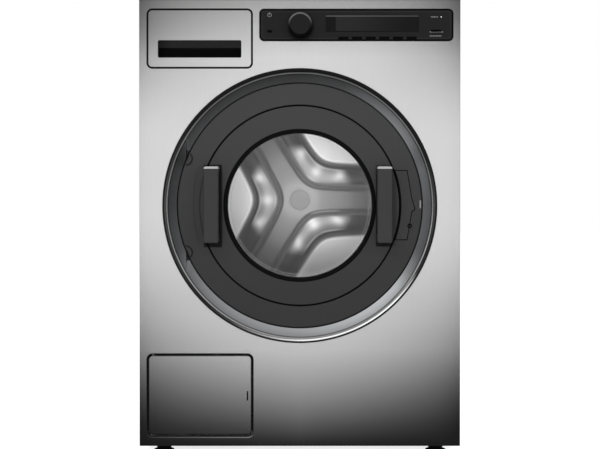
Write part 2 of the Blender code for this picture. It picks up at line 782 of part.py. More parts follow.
def make_foot(name, x, depth, rubber):
    collar_top = BASE_Z - GAP
    collar_low = collar_top - FOOT_COLLAR_HEIGHT
    profile = [
        (0.0, BASE_Z + FOOT_STEM_REACH),
        (FOOT_STEM_R, BASE_Z + FOOT_STEM_REACH),
        (FOOT_STEM_R, collar_top),
        (FOOT_COLLAR_R, collar_top),
        (FOOT_COLLAR_R, collar_low),
        (FOOT_WAIST_R, collar_low),
        (FOOT_WAIST_R, FOOT_PAD_HEIGHT),
        (FOOT_PAD_R, FOOT_PAD_HEIGHT * FOOT_PAD_EDGE_SHARE),
        (FOOT_PAD_R, 0.0),
        (0.0, 0.0),
    ]
    return finish(upright(f"foot_{name}", profile, (x, y_at(depth))), rubber)


def make_door_surround(trim):
    profile = [
        (BAND_R, -BAND_PROUD),
        (BAND_R, -GAP),
        (PANEL_HOLE_R - GAP, -GAP),
        (PANEL_HOLE_R - GAP, PANEL_COLLAR_DEPTH),
        (WALL_R + SURROUND_WALL, CONE_DEPTH + SURROUND_WALL),
        (WALL_R + SURROUND_WALL, FLOOR_DEPTH + SURROUND_WALL),
        (FLOOR_HOLE_R, FLOOR_DEPTH + SURROUND_WALL),
        (FLOOR_HOLE_R, FLOOR_DEPTH),
        (WALL_R, FLOOR_DEPTH),
        (WALL_R, CONE_DEPTH),
        (CONE_TOP_R, 0.0),
        (LIP_INNER_R, -BAND_PROUD),
        (LIP_R, -LIP_PROUD),
        (BAND_INNER_R, -BAND_PROUD),
    ]
    surround = turned("door_surround", profile, (0.0, DOOR_Z))
    relief = [(0.0, RELIEF_DEPTH), (RELIEF_R, RELIEF_DEPTH), (RELIEF_R, FLOOR_DEPTH)]
    relief = turned("hinge_relief", [*relief, (0.0, FLOOR_DEPTH)], (0.0, DOOR_Z), closed=False)
    left_of = box(
        "hinge_relief_side",
        (-HALF_WIDTH, y_at(-OVERRUN), DOOR_Z - RELIEF_REACH_Z),
        (RELIEF_FROM_X, y_at(FLOOR_DEPTH + OVERRUN), DOOR_Z + RELIEF_REACH_Z),
    )
    boolean(relief, left_of, "INTERSECT")
    cut(surround, relief)
    floor_back = FLOOR_DEPTH + SURROUND_WALL
    cut(surround, hook_slot("surround_hook_slot", FLOOR_DEPTH - OVERRUN, floor_back + OVERRUN))
    return finish(surround, trim)


def hook_slot(name, front, back):
    low = (HOOK_X - HOOK_HALF - HOOK_CLEARANCE, y_at(front), DOOR_Z - HOOK_HEIGHT / 2 - HOOK_CLEARANCE)
    high = (HOOK_X + HOOK_HALF + HOOK_CLEARANCE, y_at(back), DOOR_Z + HOOK_HEIGHT / 2 + HOOK_CLEARANCE)
    return box(name, low, high)


def round_edge(radius, front, rounding, segments):
    """The rounded outer front edge of a turned shape, as (radius, depth) points."""
    curve = arc((radius - rounding, 0.0), rounding, 90.0, 0.0, segments)
    return [(r, front + rounding - d) for r, d in curve]


def make_door_frame(plastic):
    profile = [
        *round_edge(FRAME_R, DOOR_FACE, FRAME_ROUND, 4),
        (FRAME_R, DOOR_BACK),
        (BOWL_R + GAP, DOOR_BACK),
        (BOWL_R + GAP, PLATE_DEPTH),
        (GROOVE_OUTER_R, PLATE_DEPTH),
        (GROOVE_OUTER_R, DOOR_FACE),
    ]
    frame = turned("door_frame", profile, (0.0, DOOR_Z))
    for sign in (-1, 1):
        middle = DOOR_Z + sign * KNUCKLE_Z
        half = KNUCKLE_HALF + HINGE_SLOT_CLEARANCE
        slot = box(
            f"hinge_slot_{sign}",
            (-HALF_WIDTH, y_at(-OVERRUN), middle - half),
            (HINGE_X + KNUCKLE_R + HINGE_SLOT_CLEARANCE, y_at(DOOR_BACK + OVERRUN), middle + half),
        )
        inner = middle - sign * (KNUCKLE_HALF + 2 * KNUCKLE_R)
        pin = rod(
            f"hinge_pin_{sign}",
            HINGE_PIN_R,
            (HINGE_X, y_at(HINGE_DEPTH), inner),
            (HINGE_X, y_at(HINGE_DEPTH), middle + sign * KNUCKLE_HALF),
            sides=12,
        )
        cut(frame, slot)
        join(frame, pin)
    cut(frame, scoop_cutter())
    return finish(frame, plastic)


def scoop_cutter():
    """The shallow finger scoop in the door's face, beside the left bar."""
    edge = BAR_LEFT_X - BAR_WIDTH / 2
    middle = (BAR_TOP + BAR_BOTTOM) / 2
    half = (BAR_TOP - BAR_BOTTOM) / 2
    sweep = [(-math.sin(math.pi * i / 8), -math.cos(math.pi * i / 8)) for i in range(9)]
    outline = [(edge - SCOOP_REACH / 2 + SCOOP_REACH * u, middle + half * v) for u, v in sweep]
    outline = [(edge, middle - half), *outline, (edge, middle + half)][::-1]
    return front_plate("scoop_cutter", [outline], DOOR_FACE + SCOOP_DROP - OVERRUN, OVERRUN)


def make_inner_ring(plastic):
    profile = [
        *round_edge(RING_R, DOOR_FACE, RING_ROUND, 2),
        (RING_R, PLATE_DEPTH - GAP),
        (RING_INNER_R, PLATE_DEPTH - GAP),
        (RING_INNER_R, DOOR_FACE + RING_ROUND),
        (RING_INNER_R + RING_ROUND, DOOR_FACE),
    ]
    return finish(turned("door_inner_ring", profile, (0.0, DOOR_Z)), plastic)


def make_glass_gasket(rubber):
    outer = RING_INNER_R - GAP
    profile = [
        (outer - GASKET_ROUND, GASKET_FACE),
        (outer, GASKET_FACE + GASKET_ROUND),
        (outer, GASKET_BACK),
        (GASKET_INNER_R, GASKET_BACK),
        (GASKET_INNER_R, GASKET_FACE + GASKET_ROUND),
        (GASKET_INNER_R + GASKET_ROUND, GASKET_FACE),
    ]
    return finish(turned("glass_gasket", profile, (0.0, DOOR_Z)), rubber)


def make_door_glass(glass):
    inner_end = BOWL_DEPTH - BOWL_WALL
    profile = [
        (0.0, inner_end),
        (BOWL_END_R - BOWL_WALL - BOWL_ROUND, inner_end),
        (BOWL_END_R - BOWL_WALL, inner_end - BOWL_ROUND),
        (BOWL_R - BOWL_WALL, GLASS_RIM_FACE + GASKET_ROUND),
        (BOWL_R - BOWL_WALL + GASKET_ROUND, GLASS_RIM_FACE),
        (RING_INNER_R - GAP, GLASS_RIM_FACE),
        (RING_INNER_R - GAP, PLATE_DEPTH - GAP),
        (BOWL_R, PLATE_DEPTH - GAP),
        (BOWL_R, DOOR_BACK),
        (BOWL_END_R, BOWL_DEPTH - BOWL_ROUND),
        (BOWL_END_R - BOWL_ROUND, BOWL_DEPTH),
        (0.0, BOWL_DEPTH),
    ]
    return finish(turned("door_glass", profile, (0.0, DOOR_Z), closed=False), glass)


def make_handle(name, x, plastic):
    """A grip bar that stands on two legs, so that fingers go behind it."""
    front = -BAR_PROUD
    back = front + BAR_THICKNESS
    foot = DOOR_FACE - GAP
    outline = [
        (front, BAR_BOTTOM),
        (foot, BAR_BOTTOM),
        (foot, BAR_BOTTOM + BAR_LEG),
        (back, BAR_BOTTOM + BAR_LEG),
        (back, BAR_TOP - BAR_LEG),
        (foot, BAR_TOP - BAR_LEG),
        (foot, BAR_TOP),
        (front, BAR_TOP),
    ]
    bar = side_plate(name, [outline], x, BAR_WIDTH)
    return finish(bevel(bar, BAR_ROUND, segments=2, angle=60.0), plastic)


def make_latch_plate(plastic):
    radius = GROOVE_OUTER_R + GAP
    top = math.degrees(math.asin((LATCH_TOP - DOOR_Z) / radius))
    bottom = math.degrees(math.asin((LATCH_BOTTOM - DOOR_Z) / radius))
    outline = arc((0.0, DOOR_Z), radius, top, bottom, 10)
    outline += [
        (LATCH_CORNER_X, LATCH_BOTTOM),
        (LATCH_EDGE_X, LATCH_LOW_Z),
        (LATCH_BUMP_X, LATCH_BUMP_Z),
        (LATCH_EDGE_X, LATCH_SHOULDER_Z),
        (LATCH_CORNER_X, LATCH_TOP),
    ]
    plate = front_plate("latch_plate", [outline], DOOR_FACE - GAP - LATCH_THICKNESS, LATCH_THICKNESS)
    return finish(plate, plastic)


def make_latch_hook(steel):
    low = (HOOK_X - HOOK_HALF, y_at(DOOR_BACK + GAP), DOOR_Z - HOOK_HEIGHT / 2)
    high = (HOOK_X, y_at(HOOK_END_DEPTH), DOOR_Z + HOOK_HEIGHT / 2)
    hook = box("latch_hook", low, high)
    barb = box(
        "latch_barb",
        (HOOK_X - HOOK_HALF / 2, y_at(HOOK_END_DEPTH - HOOK_BARB), low[2]),
        (HOOK_X + HOOK_HALF, y_at(HOOK_END_DEPTH), high[2]),
    )
    return finish(join(hook, barb), steel)


def make_door_lock(plastic):
    front = FLOOR_DEPTH + SURROUND_WALL + GAP
    low = (HOOK_X - LOCK_HALF_X, y_at(front), DOOR_Z - LOCK_HALF_Z)
    high = (HOOK_X + LOCK_HALF_X, y_at(LOCK_BACK), DOOR_Z + LOCK_HALF_Z)
    lock = box("door_lock", low, high)
    slot = hook_slot("lock_slot", front - OVERRUN, HOOK_END_DEPTH + HOOK_CLEARANCE / 2)
    return finish(cut(lock, slot), plastic)


def make_door_hinge(steel):
    """Two knuckles on arms that rise from a strap, inside the left of the surround."""
    strap_back = FLOOR_DEPTH - GAP
    strap_front = strap_back - STRAP_THICKNESS
    reach = KNUCKLE_Z + KNUCKLE_HALF
    hinge = box(
        "door_hinge",
        (HINGE_X - STRAP_HALF, y_at(strap_front), DOOR_Z - reach),
        (HINGE_X + STRAP_HALF, y_at(strap_back), DOOR_Z + reach),
    )
    for sign in (-1, 1):
        middle = DOOR_Z + sign * KNUCKLE_Z
        ends = (middle - KNUCKLE_HALF, middle + KNUCKLE_HALF)
        outline = arc((HINGE_X, HINGE_DEPTH), KNUCKLE_R, 180, 360, 8)
        outline += [(HINGE_X + KNUCKLE_R, strap_front + STRAP_THICKNESS / 2)]
        outline += [(HINGE_X - KNUCKLE_R, strap_front + STRAP_THICKNESS / 2)]
        arm = outline_object(f"hinge_arm_{sign}", [outline], ends[1] - ends[0])
        arm.location = (0.0, FRONT_Y, middle)
        hole_ends = [(HINGE_X, y_at(HINGE_DEPTH), z) for z in (ends[0] - OVERRUN, ends[1] + OVERRUN)]
        join(hinge, arm)
        cut(hinge, rod(f"hinge_hole_{sign}", HINGE_PIN_R + GAP, *hole_ends, sides=12))
    return finish(hinge, steel)


def make_door_seal(rubber):
    """The rubber ring between the cabinet and the tub, with a lip that meets the door's back."""
    neck_outer = FLOOR_HOLE_R - GAP
    neck_inner = neck_outer - SEAL_WALL
    floor_back = FLOOR_DEPTH + SURROUND_WALL + GAP
    profile = [
        (neck_outer, SEAL_FRONT_DEPTH),
        (neck_outer, floor_back),
        (SEAL_OUTER_R, floor_back),
        (SEAL_OUTER_R, SEAL_BACK),
        (SEAL_OUTER_R - SEAL_WALL, SEAL_BACK),
        (neck_inner, floor_back + SEAL_LIP_THICKNESS),
        (neck_inner, SEAL_FRONT_DEPTH),
        (SEAL_LIP_R, SEAL_LIP_FRONT + SEAL_LIP_THICKNESS),
        (SEAL_LIP_R, SEAL_LIP_FRONT),
        (SEAL_LIP_R + SEAL_LIP_LAND, SEAL_LIP_FRONT),
    ]
    return finish(turned("door_seal", profile, (0.0, DOOR_Z)), rubber)


def make_tub_front(plastic):
    face = SEAL_BACK + GAP
    profile = [
        (TUB_FLANGE_R, face + TUB_WALL),
        (TUB_FLANGE_R, TUB_JOINT_DEPTH),
        (TUB_R - TUB_WALL, TUB_JOINT_DEPTH),
        (TUB_R - TUB_WALL, face + TUB_WALL),
        (TUB_MOUTH_R, face + TUB_WALL),
        (TUB_MOUTH_R, face),
        (TUB_R, face),
    ]
    return finish(turned("tub_front", profile, (0.0, DOOR_Z), steps=ROUND), plastic)


def make_tub_shell(plastic):
    inner = TUB_R - TUB_WALL
    front = TUB_JOINT_DEPTH + GAP
    bore = BEARING_R + GAP
    profile = [
        (TUB_FLANGE_R, front),
        (TUB_FLANGE_R, front + TUB_WALL),
        (TUB_R, front + 2 * TUB_WALL),
        (TUB_R, TUB_BACK),
        (TUB_HUB_R, TUB_BACK),
        (TUB_HUB_R, TUB_HUB_BACK),
        (bore, TUB_HUB_BACK),
        (bore, TUB_BACK - TUB_WALL),
        (inner, TUB_BACK - TUB_WALL),
        (inner, front),
    ]
    shell = turned("tub_shell", profile, (0.0, DOOR_Z), steps=ROUND)
    for sign in (-1, 1):
        ends = sorted((sign * (SPRING_X + EAR_HALF), sign * EAR_ROOT_X))
        ear = box(
            f"ear_{sign}",
            (ends[0], y_at(SPRING_DEPTH - EAR_HALF), SPRING_BOTTOM - EAR_THICKNESS),
            (ends[1], y_at(SPRING_DEPTH + EAR_HALF), SPRING_BOTTOM),
        )
        join(shell, ear)
    return finish(shell, plastic)


def make_counterweight(concrete):
    back = SEAL_BACK
    profile = [
        (WEIGHT_R, WEIGHT_FRONT),
        (WEIGHT_R, back),
        (WEIGHT_INNER_R, back),
        (WEIGHT_INNER_R, WEIGHT_FRONT),
    ]
    weight = turned("counterweight", profile, (0.0, DOOR_Z), steps=ROUND)
    notch = box(
        "weight_notch",
        (WEIGHT_NOTCH_X, y_at(WEIGHT_FRONT - OVERRUN), DOOR_Z - WEIGHT_NOTCH_HALF),
        (HALF_WIDTH, y_at(back + OVERRUN), DOOR_Z + WEIGHT_NOTCH_HALF),
    )
    return finish(cut(weight, notch), concrete)


def make_drum(steel):
    inner = DRUM_R - DRUM_WALL
    profile = [
        (DRUM_MOUTH_R, DRUM_FRONT),
        (DRUM_R - DRUM_SHOULDER, DRUM_FRONT),
        (DRUM_R, DRUM_FRONT + DRUM_SHOULDER),
        (DRUM_R, DRUM_BACK),
        (DRUM_HUB_R, DRUM_BACK),
        (DRUM_HUB_R, DRUM_HUB_BACK),
        (0.0, DRUM_HUB_BACK),
        (0.0, DRUM_BACK - DRUM_WALL),
        (inner, DRUM_BACK - DRUM_WALL),
        (inner, DRUM_FRONT + DRUM_SHOULDER + DRUM_WALL),
        (inner - DRUM_SHOULDER, DRUM_FRONT + DRUM_WALL),
        (DRUM_MOUTH_R, DRUM_FRONT + DRUM_WALL),
    ]
    return finish(turned("drum", profile, (0.0, DOOR_Z), steps=ROUND), steel)


def make_lifter(index, plastic):
    """A ridge along the drum's wall, lower and narrower towards the middle."""
    middle = 90.0 + 360.0 * (index - 1) / LIFTER_COUNT
    seat = (DRUM_R - DRUM_WALL) * math.cos(math.pi / ROUND) - GAP
    base = arc((0.0, DOOR_Z), seat, middle - LIFTER_BASE_HALF_DEG, middle + LIFTER_BASE_HALF_DEG, 4)
    tip_r = seat - LIFTER_HEIGHT
    tip = arc((0.0, DOOR_Z), tip_r, middle + LIFTER_TIP_HALF_DEG, middle - LIFTER_TIP_HALF_DEG, 2)
    lifter = front_plate(f"lifter_{index}", [base + tip], LIFTER_FRONT, LIFTER_BACK - LIFTER_FRONT)
    return finish(lifter, plastic)


def axis_cylinder(name, radius, front, back, centre, steps=COARSE):
    profile = [(0.0, front), (radius, front), (radius, back), (0.0, back)]
    return turned(name, profile, centre, closed=False, steps=steps)


def make_drum_shaft(steel):
    shaft = axis_cylinder("drum_shaft", SHAFT_R, DRUM_HUB_BACK + GAP, SHAFT_END, (0.0, DOOR_Z), steps=24)
    return finish(shaft, steel)


def make_bearing(steel):
    bore = SHAFT_R + GAP
    profile = [(BEARING_R, BEARING_DEPTH), (BEARING_R, TUB_HUB_BACK)]
    profile += [(bore, TUB_HUB_BACK), (bore, BEARING_DEPTH)]
    return finish(turned("drum_bearing", profile, (0.0, DOOR_Z), steps=24), steel)


def make_drum_pulley(aluminium):
    middle = (PULLEY_FRONT + PULLEY_BACK) / 2
    rim = PULLEY_R - PULLEY_RIM
    web_front, web_back = middle - PULLEY_WEB / 2, middle + PULLEY_WEB / 2
    profile = [
        (PULLEY_R, PULLEY_FRONT),
        (PULLEY_R, PULLEY_BACK),
        (rim, PULLEY_BACK),
        (rim, web_back),
        (PULLEY_HUB_R, web_back),
        (PULLEY_HUB_R, PULLEY_BACK),
        (SHAFT_R + GAP, PULLEY_BACK),
        (SHAFT_R + GAP, PULLEY_FRONT),
        (PULLEY_HUB_R, PULLEY_FRONT),
        (PULLEY_HUB_R, web_front),
        (rim, web_front),
        (rim, PULLEY_FRONT),
    ]
    pulley = turned("drum_pulley", profile, (0.0, DOOR_Z), steps=32)
    for index in range(PULLEY_HOLES):
        angle = 2 * math.pi * index / PULLEY_HOLES
        x = PULLEY_HOLE_AT_R * math.cos(angle)
        z = DOOR_Z + PULLEY_HOLE_AT_R * math.sin(angle)
        ends = [(x, y_at(d), z) for d in (web_front - OVERRUN, web_back + OVERRUN)]
        cut(pulley, rod(f"pulley_hole_{index}", PULLEY_HOLE_R, *ends, sides=12))
    return finish(pulley, aluminium)


def tub_trim(name, depth, reach):
    """A cutter the size of the tub, so that what it cuts ends at the tub's round side."""
    return axis_cylinder(name, TUB_R + GAP, depth - reach, depth + reach, (0.0, DOOR_Z), steps=ROUND)


def make_motor(grey):
    """A motor under the tub, whose lugs are trimmed to the tub's round side."""
    profile = [
        (0.0, MOTOR_FRONT),
        (MOTOR_R, MOTOR_FRONT),
        (MOTOR_R, MOTOR_BACK),
        (MOTOR_SHAFT_R, MOTOR_BACK),
        (MOTOR_SHAFT_R, PULLEY_FRONT - GAP),
        (0.0, PULLEY_FRONT - GAP),
    ]
    motor = turned("motor", profile, (MOTOR_X, MOTOR_Z), closed=False, steps=24)
    tub_side = DOOR_Z - TUB_R * math.cos(math.asin(MOTOR_X / TUB_R))
    for share in MOTOR_LUG_SHARES:
        depth = MOTOR_FRONT + (MOTOR_BACK - MOTOR_FRONT) * share
        lug = box(
            f"motor_lug_{share}",
            (MOTOR_X - MOTOR_LUG_HALF, y_at(depth - MOTOR_LUG_HALF), MOTOR_Z),
            (MOTOR_X + MOTOR_LUG_HALF, y_at(depth + MOTOR_LUG_HALF), tub_side + MOTOR_LUG_HALF),
        )
        trim = tub_trim(f"lug_trim_{share}", depth, 2 * MOTOR_LUG_HALF)
        join(motor, cut(lug, trim))
    return finish(motor, grey)


def make_motor_pulley(aluminium):
    pulley = axis_cylinder("motor_pulley", MOTOR_PULLEY_R, PULLEY_FRONT, PULLEY_BACK, (MOTOR_X, MOTOR_Z))
    return finish(pulley, aluminium)


def belt_outline(margin):
    """The outline round both pulleys, out from them by a margin."""
    span = math.hypot(MOTOR_X, DOOR_Z - MOTOR_Z)
    lean = math.degrees(math.atan2(MOTOR_Z - DOOR_Z, MOTOR_X))
    wrap = math.degrees(math.acos((PULLEY_R - MOTOR_PULLEY_R) / span))
    large = arc((0.0, DOOR_Z), PULLEY_R + margin, lean + wrap, lean + 360.0 - wrap, 40)
    small = arc((MOTOR_X, MOTOR_Z), MOTOR_PULLEY_R + margin, lean - wrap, lean + wrap, 8)
    return large + small


def make_drive_belt(rubber):
    outlines = [belt_outline(GAP + BELT_THICKNESS), belt_outline(GAP)]
    thickness = PULLEY_BACK - PULLEY_FRONT - 2 * BELT_MARGIN
    return finish(front_plate("drive_belt", outlines, PULLEY_FRONT + BELT_MARGIN, thickness), rubber)


def make_damper(side, sign, plastic, steel):
    """A damper's tube on the tray, open at the top, and its rod up to the tub."""
    place = (sign * DAMPER_X, y_at(DAMPER_DEPTH))
    low = BASE_Z + SHEET + GAP
    bore = DAMPER_ROD_R + GAP
    bore_low = DAMPER_ROD_BOTTOM - BOUNCE - OVERRUN
    profile = [
        (0.0, bore_low),
        (bore, bore_low),
        (bore, DAMPER_TUBE_TOP),
        (DAMPER_TUBE_R, DAMPER_TUBE_TOP),
        (DAMPER_TUBE_R, low + DAMPER_FOOT_HEIGHT),
        (DAMPER_FOOT_HALF, low + DAMPER_FOOT_HEIGHT),
        (DAMPER_FOOT_HALF, low),
        (0.0, low),
    ]
    tube = upright(f"damper_tube_{side}", profile, place)
    tub_low = DOOR_Z - TUB_R * math.cos(math.asin(DAMPER_X / TUB_R))
    ends = [(*place, DAMPER_ROD_BOTTOM), (*place, tub_low + DAMPER_ROD_R)]
    piston = rod(f"damper_rod_{side}", DAMPER_ROD_R, *ends)
    cut(piston, tub_trim(f"rod_trim_{side}", DAMPER_DEPTH, 2 * DAMPER_ROD_R))
    return finish(tube, plastic), finish(piston, steel)


def make_spring(side, sign, steel):
    """One unbroken wire: a leg, the coil, a leg, on the axis at both ends."""
    low = SPRING_BOTTOM + GAP
    high = SPRING_TOP - GAP
    coil_low, coil_high = low + SPRING_LEG, high - SPRING_LEG
    steps = SPRING_TURNS * SPRING_POINTS
    points = [(0.0, 0.0, low), (0.0, 0.0, low + SPRING_LEG / 2)]
    for i in range(steps + 1):
        angle = 2 * math.pi * i / SPRING_POINTS
        height = coil_low + (coil_high - coil_low) * i / steps
        points.append((SPRING_R * math.cos(angle), SPRING_R * math.sin(angle), height))
    points += [(0.0, 0.0, high - SPRING_LEG / 2), (0.0, 0.0, high)]
    curve = bpy.data.curves.new(f"spring_{side}", "CURVE")
    curve.dimensions = "3D"
    curve.bevel_depth = SPRING_WIRE_R
    curve.bevel_resolution = 1
    curve.use_fill_caps = True
    spline = curve.splines.new("POLY")
    spline.points.add(len(points) - 1)
    for point, place in zip(spline.points, points):
        point.co = (*place, 1.0)
    pitch = (coil_high - coil_low) / SPRING_TURNS
    print(f"spring_{side}: least gap between turns {1000 * (pitch - 2 * SPRING_WIRE_R):.1f} mm")
    source = bpy.data.objects.new(f"spring_{side}", curve)
    source.location = (sign * SPRING_X, y_at(SPRING_DEPTH), 0.0)
    parts.objects.link(source)
    return finish(meshed(source), steel)


def make_drawer_front(steel):
    plate_edges = shrink(DRAWER_SEAM, SEAM_HALF)
    outline = rounded_rectangle(*plate_edges, SEAM_R - SEAM_HALF)
    hole = rounded_rectangle(*shrink(RECESS_EDGES, -GAP), RECESS_R + GAP, segments=2)
    return finish(front_plate("drawer_front", [outline, hole], 0.0, SHEET), steel)


def make_drawer_grip(plastic):
    """The hollow grip: a box open to the front, its top edge turned down as a lip."""
    outline = rounded_rectangle(*RECESS_EDGES, RECESS_R, segments=2)
    grip = front_plate("drawer_grip", [outline], 0.0, GRIP_DEPTH)
    left, right, low, high = shrink(RECESS_EDGES, GRIP_WALL)
    hollow_back = y_at(GRIP_DEPTH - GRIP_WALL)
    hollow = box("grip_hollow", (left, y_at(GRIP_WALL), low), (right, hollow_back, high))
    mouth = box("grip_mouth", (left, y_at(-OVERRUN), low), (right, y_at(2 * GRIP_WALL), high - GRIP_LIP))
    return finish(cut(grip, hollow, mouth), plastic)


def make_drawer_tray(plastic):
    """Three compartments, open at the top."""
    left, right = HOUSING_INSIDE[0] + TRAY_CLEARANCE, HOUSING_INSIDE[1] - TRAY_CLEARANCE
    low = HOUSING_LOW + HOUSING_WALL + GAP
    front = GRIP_DEPTH + GAP
    tray = box("drawer_tray", (left, y_at(front), low), (right, y_at(TRAY_BACK), TRAY_TOP))
    pitch = (right - left - TRAY_WALL) / TRAY_WELLS
    for index in range(TRAY_WELLS):
        start = left + TRAY_WALL + pitch * index
        well = box(
            f"tray_well_{index}",
            (start, y_at(front + TRAY_WALL), low + TRAY_WALL),
            (start + pitch - TRAY_WALL, y_at(TRAY_BACK - TRAY_WALL), TRAY_TOP + OVERRUN),
        )
        cut(tray, well)
    return finish(tray, plastic)


def make_drawer_housing(plastic):
    left, right, low, high = HOUSING_EDGES
    housing = box("drawer_housing", (left, y_at(SHEET + GAP), low), (right, y_at(HOUSING_BACK), high))
    left, right, low, high = HOUSING_INSIDE
    inside = box(
        "housing_inside", (left, y_at(-OVERRUN), low), (right, y_at(HOUSING_BACK - HOUSING_WALL), high)
    )
    return finish(cut(housing, inside), plastic)


def fascia_hole(name, outline):
    """A cutter that goes right through the fascia."""
    return front_plate(name, [outline], -FASCIA_PROUD - OVERRUN, FASCIA_BACK + FASCIA_PROUD + 2 * OVERRUN)


def make_control_fascia(plastic):
    outline = rounded_rectangle(*FASCIA_EDGES, FASCIA_R)
    fascia = front_plate("control_fascia", [outline], -FASCIA_PROUD, FASCIA_BACK + FASCIA_PROUD)
    bore = arc((KNOB_X, KNOB_Z), KNOB_SHAFT_R + GAP, 0.0, 360.0 - 360.0 / 16, 15)
    cut(fascia, fascia_hole("knob_bore", bore))
    for name, x, z, width, height in BUTTONS:
        edges = (x - width / 2 - GAP, x + width / 2 + GAP, z - height / 2 - GAP, z + height / 2 + GAP)
        outline = rounded_rectangle(*edges, BUTTON_ROUND + GAP, segments=2)
        cut(fascia, fascia_hole(f"hole_{name}", outline))
    pocket = front_plate(
        "display_pocket",
        [rounded_rectangle(*shrink(DISPLAY_EDGES, -GAP), DISPLAY_R + GAP, segments=2)],
        -FASCIA_PROUD - OVERRUN,
        DISPLAY_THICKNESS + GAP + OVERRUN,
    )
    return finish(cut(fascia, pocket), plastic)


def make_display(glass):
    outline = rounded_rectangle(*DISPLAY_EDGES, DISPLAY_R, segments=2)
    return finish(front_plate("display_window", [outline], -FASCIA_PROUD, DISPLAY_THICKNESS), glass)


def make_button(name, x, z, width, height, plastic):
    """A key that slides in its hole through the fascia."""
    edges = (x - width / 2, x + width / 2, z - height / 2, z + height / 2)
    front = -FASCIA_PROUD - BUTTON_PROUD
    outline = rounded_rectangle(*edges, BUTTON_ROUND, segments=2)
    return finish(front_plate(name, [outline], front, FASCIA_BACK + FASCIA_PROUD + 2 * BUTTON_PROUD), plastic)


def make_knob(plastic):
    profile = [
        (0.0, -KNOB_PROUD),
        (KNOB_FACE_R, -KNOB_PROUD),
        (KNOB_R, -KNOB_PROUD + (KNOB_R - KNOB_FACE_R) / 2),
        (KNOB_R, -FASCIA_PROUD - GAP),
        (KNOB_SHAFT_R, -FASCIA_PROUD - GAP),
        (KNOB_SHAFT_R, KNOB_SHAFT_END),
        (0.0, KNOB_SHAFT_END),
    ]
    return finish(turned("program_knob", profile, (KNOB_X, KNOB_Z), closed=False, steps=32), plastic)


def make_service_flap(steel):
    """The lower flap: a folded plate that turns on a pin at its left edge."""
    edges = shrink(FLAP_EDGES, 2 * SEAM_HALF)
    plate = front_plate("service_flap", [rounded_rectangle(*edges, SEAM_R - SEAM_HALF)], 0.0, SHEET)
    barrel_r = FLAP_PIN_R + SHEET / 2
    barrel = rod(
        "flap_barrel",
        barrel_r,
        (FLAP_AXIS_X, y_at(FLAP_HINGE_DEPTH), edges[2] + SEAM_R),
        (FLAP_AXIS_X, y_at(FLAP_HINGE_DEPTH), edges[3] - SEAM_R),
        sides=12,
    )
    web = box(
        "flap_web",
        (FLAP_AXIS_X - SHEET / 2, y_at(SHEET / 2), edges[2] + SEAM_R),
        (FLAP_AXIS_X + SHEET / 2, y_at(FLAP_HINGE_DEPTH), edges[3] - SEAM_R),
    )
    pin = rod(
        "flap_pin",
        FLAP_PIN_R,
        (FLAP_AXIS_X, y_at(FLAP_HINGE_DEPTH), FLAP_EDGES[2] - FLAP_PIN_REACH / 2),
        (FLAP_AXIS_X, y_at(FLAP_HINGE_DEPTH), FLAP_EDGES[3] + FLAP_PIN_REACH / 2),
        sides=12,
    )
    slot = box(
        "flap_slot",
        (FLAP_SLOT_X - FLAP_SLOT_WIDTH / 2, y_at(-OVERRUN), FLAP_SLOT_Z - FLAP_SLOT_HEIGHT / 2),
        (FLAP_SLOT_X + FLAP_SLOT_WIDTH / 2, y_at(SHEET + OVERRUN), FLAP_SLOT_Z + FLAP_SLOT_HEIGHT / 2),
    )
    join(plate, web, barrel, pin)
    return finish(cut(plate, slot), steel)


def make_filter_cap(plastic):
    profile = [
        (0.0, FILTER_FACE),
        (FILTER_R - SHEET, FILTER_FACE),
        (FILTER_R, FILTER_FACE + SHEET),
        (FILTER_R, FILTER_FACE + FILTER_RIM),
        (FILTER_PLUG_R, FILTER_FACE + FILTER_RIM),
        (FILTER_PLUG_R, FILTER_PLUG_END),
        (0.0, FILTER_PLUG_END),
    ]
    cap = turned("filter_cap", profile, (FILTER_X, FILTER_Z), closed=False, steps=24)
    reach = FILTER_R * FILTER_GRIP_SHARE
    grip = box(
        "filter_grip",
        (FILTER_X - reach, y_at(FILTER_FACE - FILTER_GRIP_RISE), FILTER_Z - FILTER_GRIP_HALF),
        (FILTER_X + reach, y_at(FILTER_FACE + SHEET), FILTER_Z + FILTER_GRIP_HALF),
    )
    return finish(join(cap, grip), plastic)


def make_drain_pump(plastic):
    front = FILTER_FACE + FILTER_RIM + GAP
    bore = FILTER_PLUG_R + GAP
    profile = [
        (0.0, FILTER_PLUG_END + PUMP_WALL),
        (bore, FILTER_PLUG_END + PUMP_WALL),
        (bore, front),
        (PUMP_R, front),
        (PUMP_R, PUMP_END),
        (PUMP_MOTOR_R, PUMP_END),
        (PUMP_MOTOR_R, PUMP_MOTOR_END),
        (0.0, PUMP_MOTOR_END),
    ]
    pump = turned("drain_pump", profile, (FILTER_X, FILTER_Z), closed=False, steps=24)
    foot = box(
        "pump_foot",
        (FILTER_X - PUMP_FOOT_HALF, y_at(PUMP_END - 2 * PUMP_FOOT_HALF), BASE_Z + SHEET + GAP),
        (FILTER_X + PUMP_FOOT_HALF, y_at(PUMP_END - PUMP_WALL), FILTER_Z - bore - PUMP_WALL),
    )
    return finish(join(pump, foot), plastic)


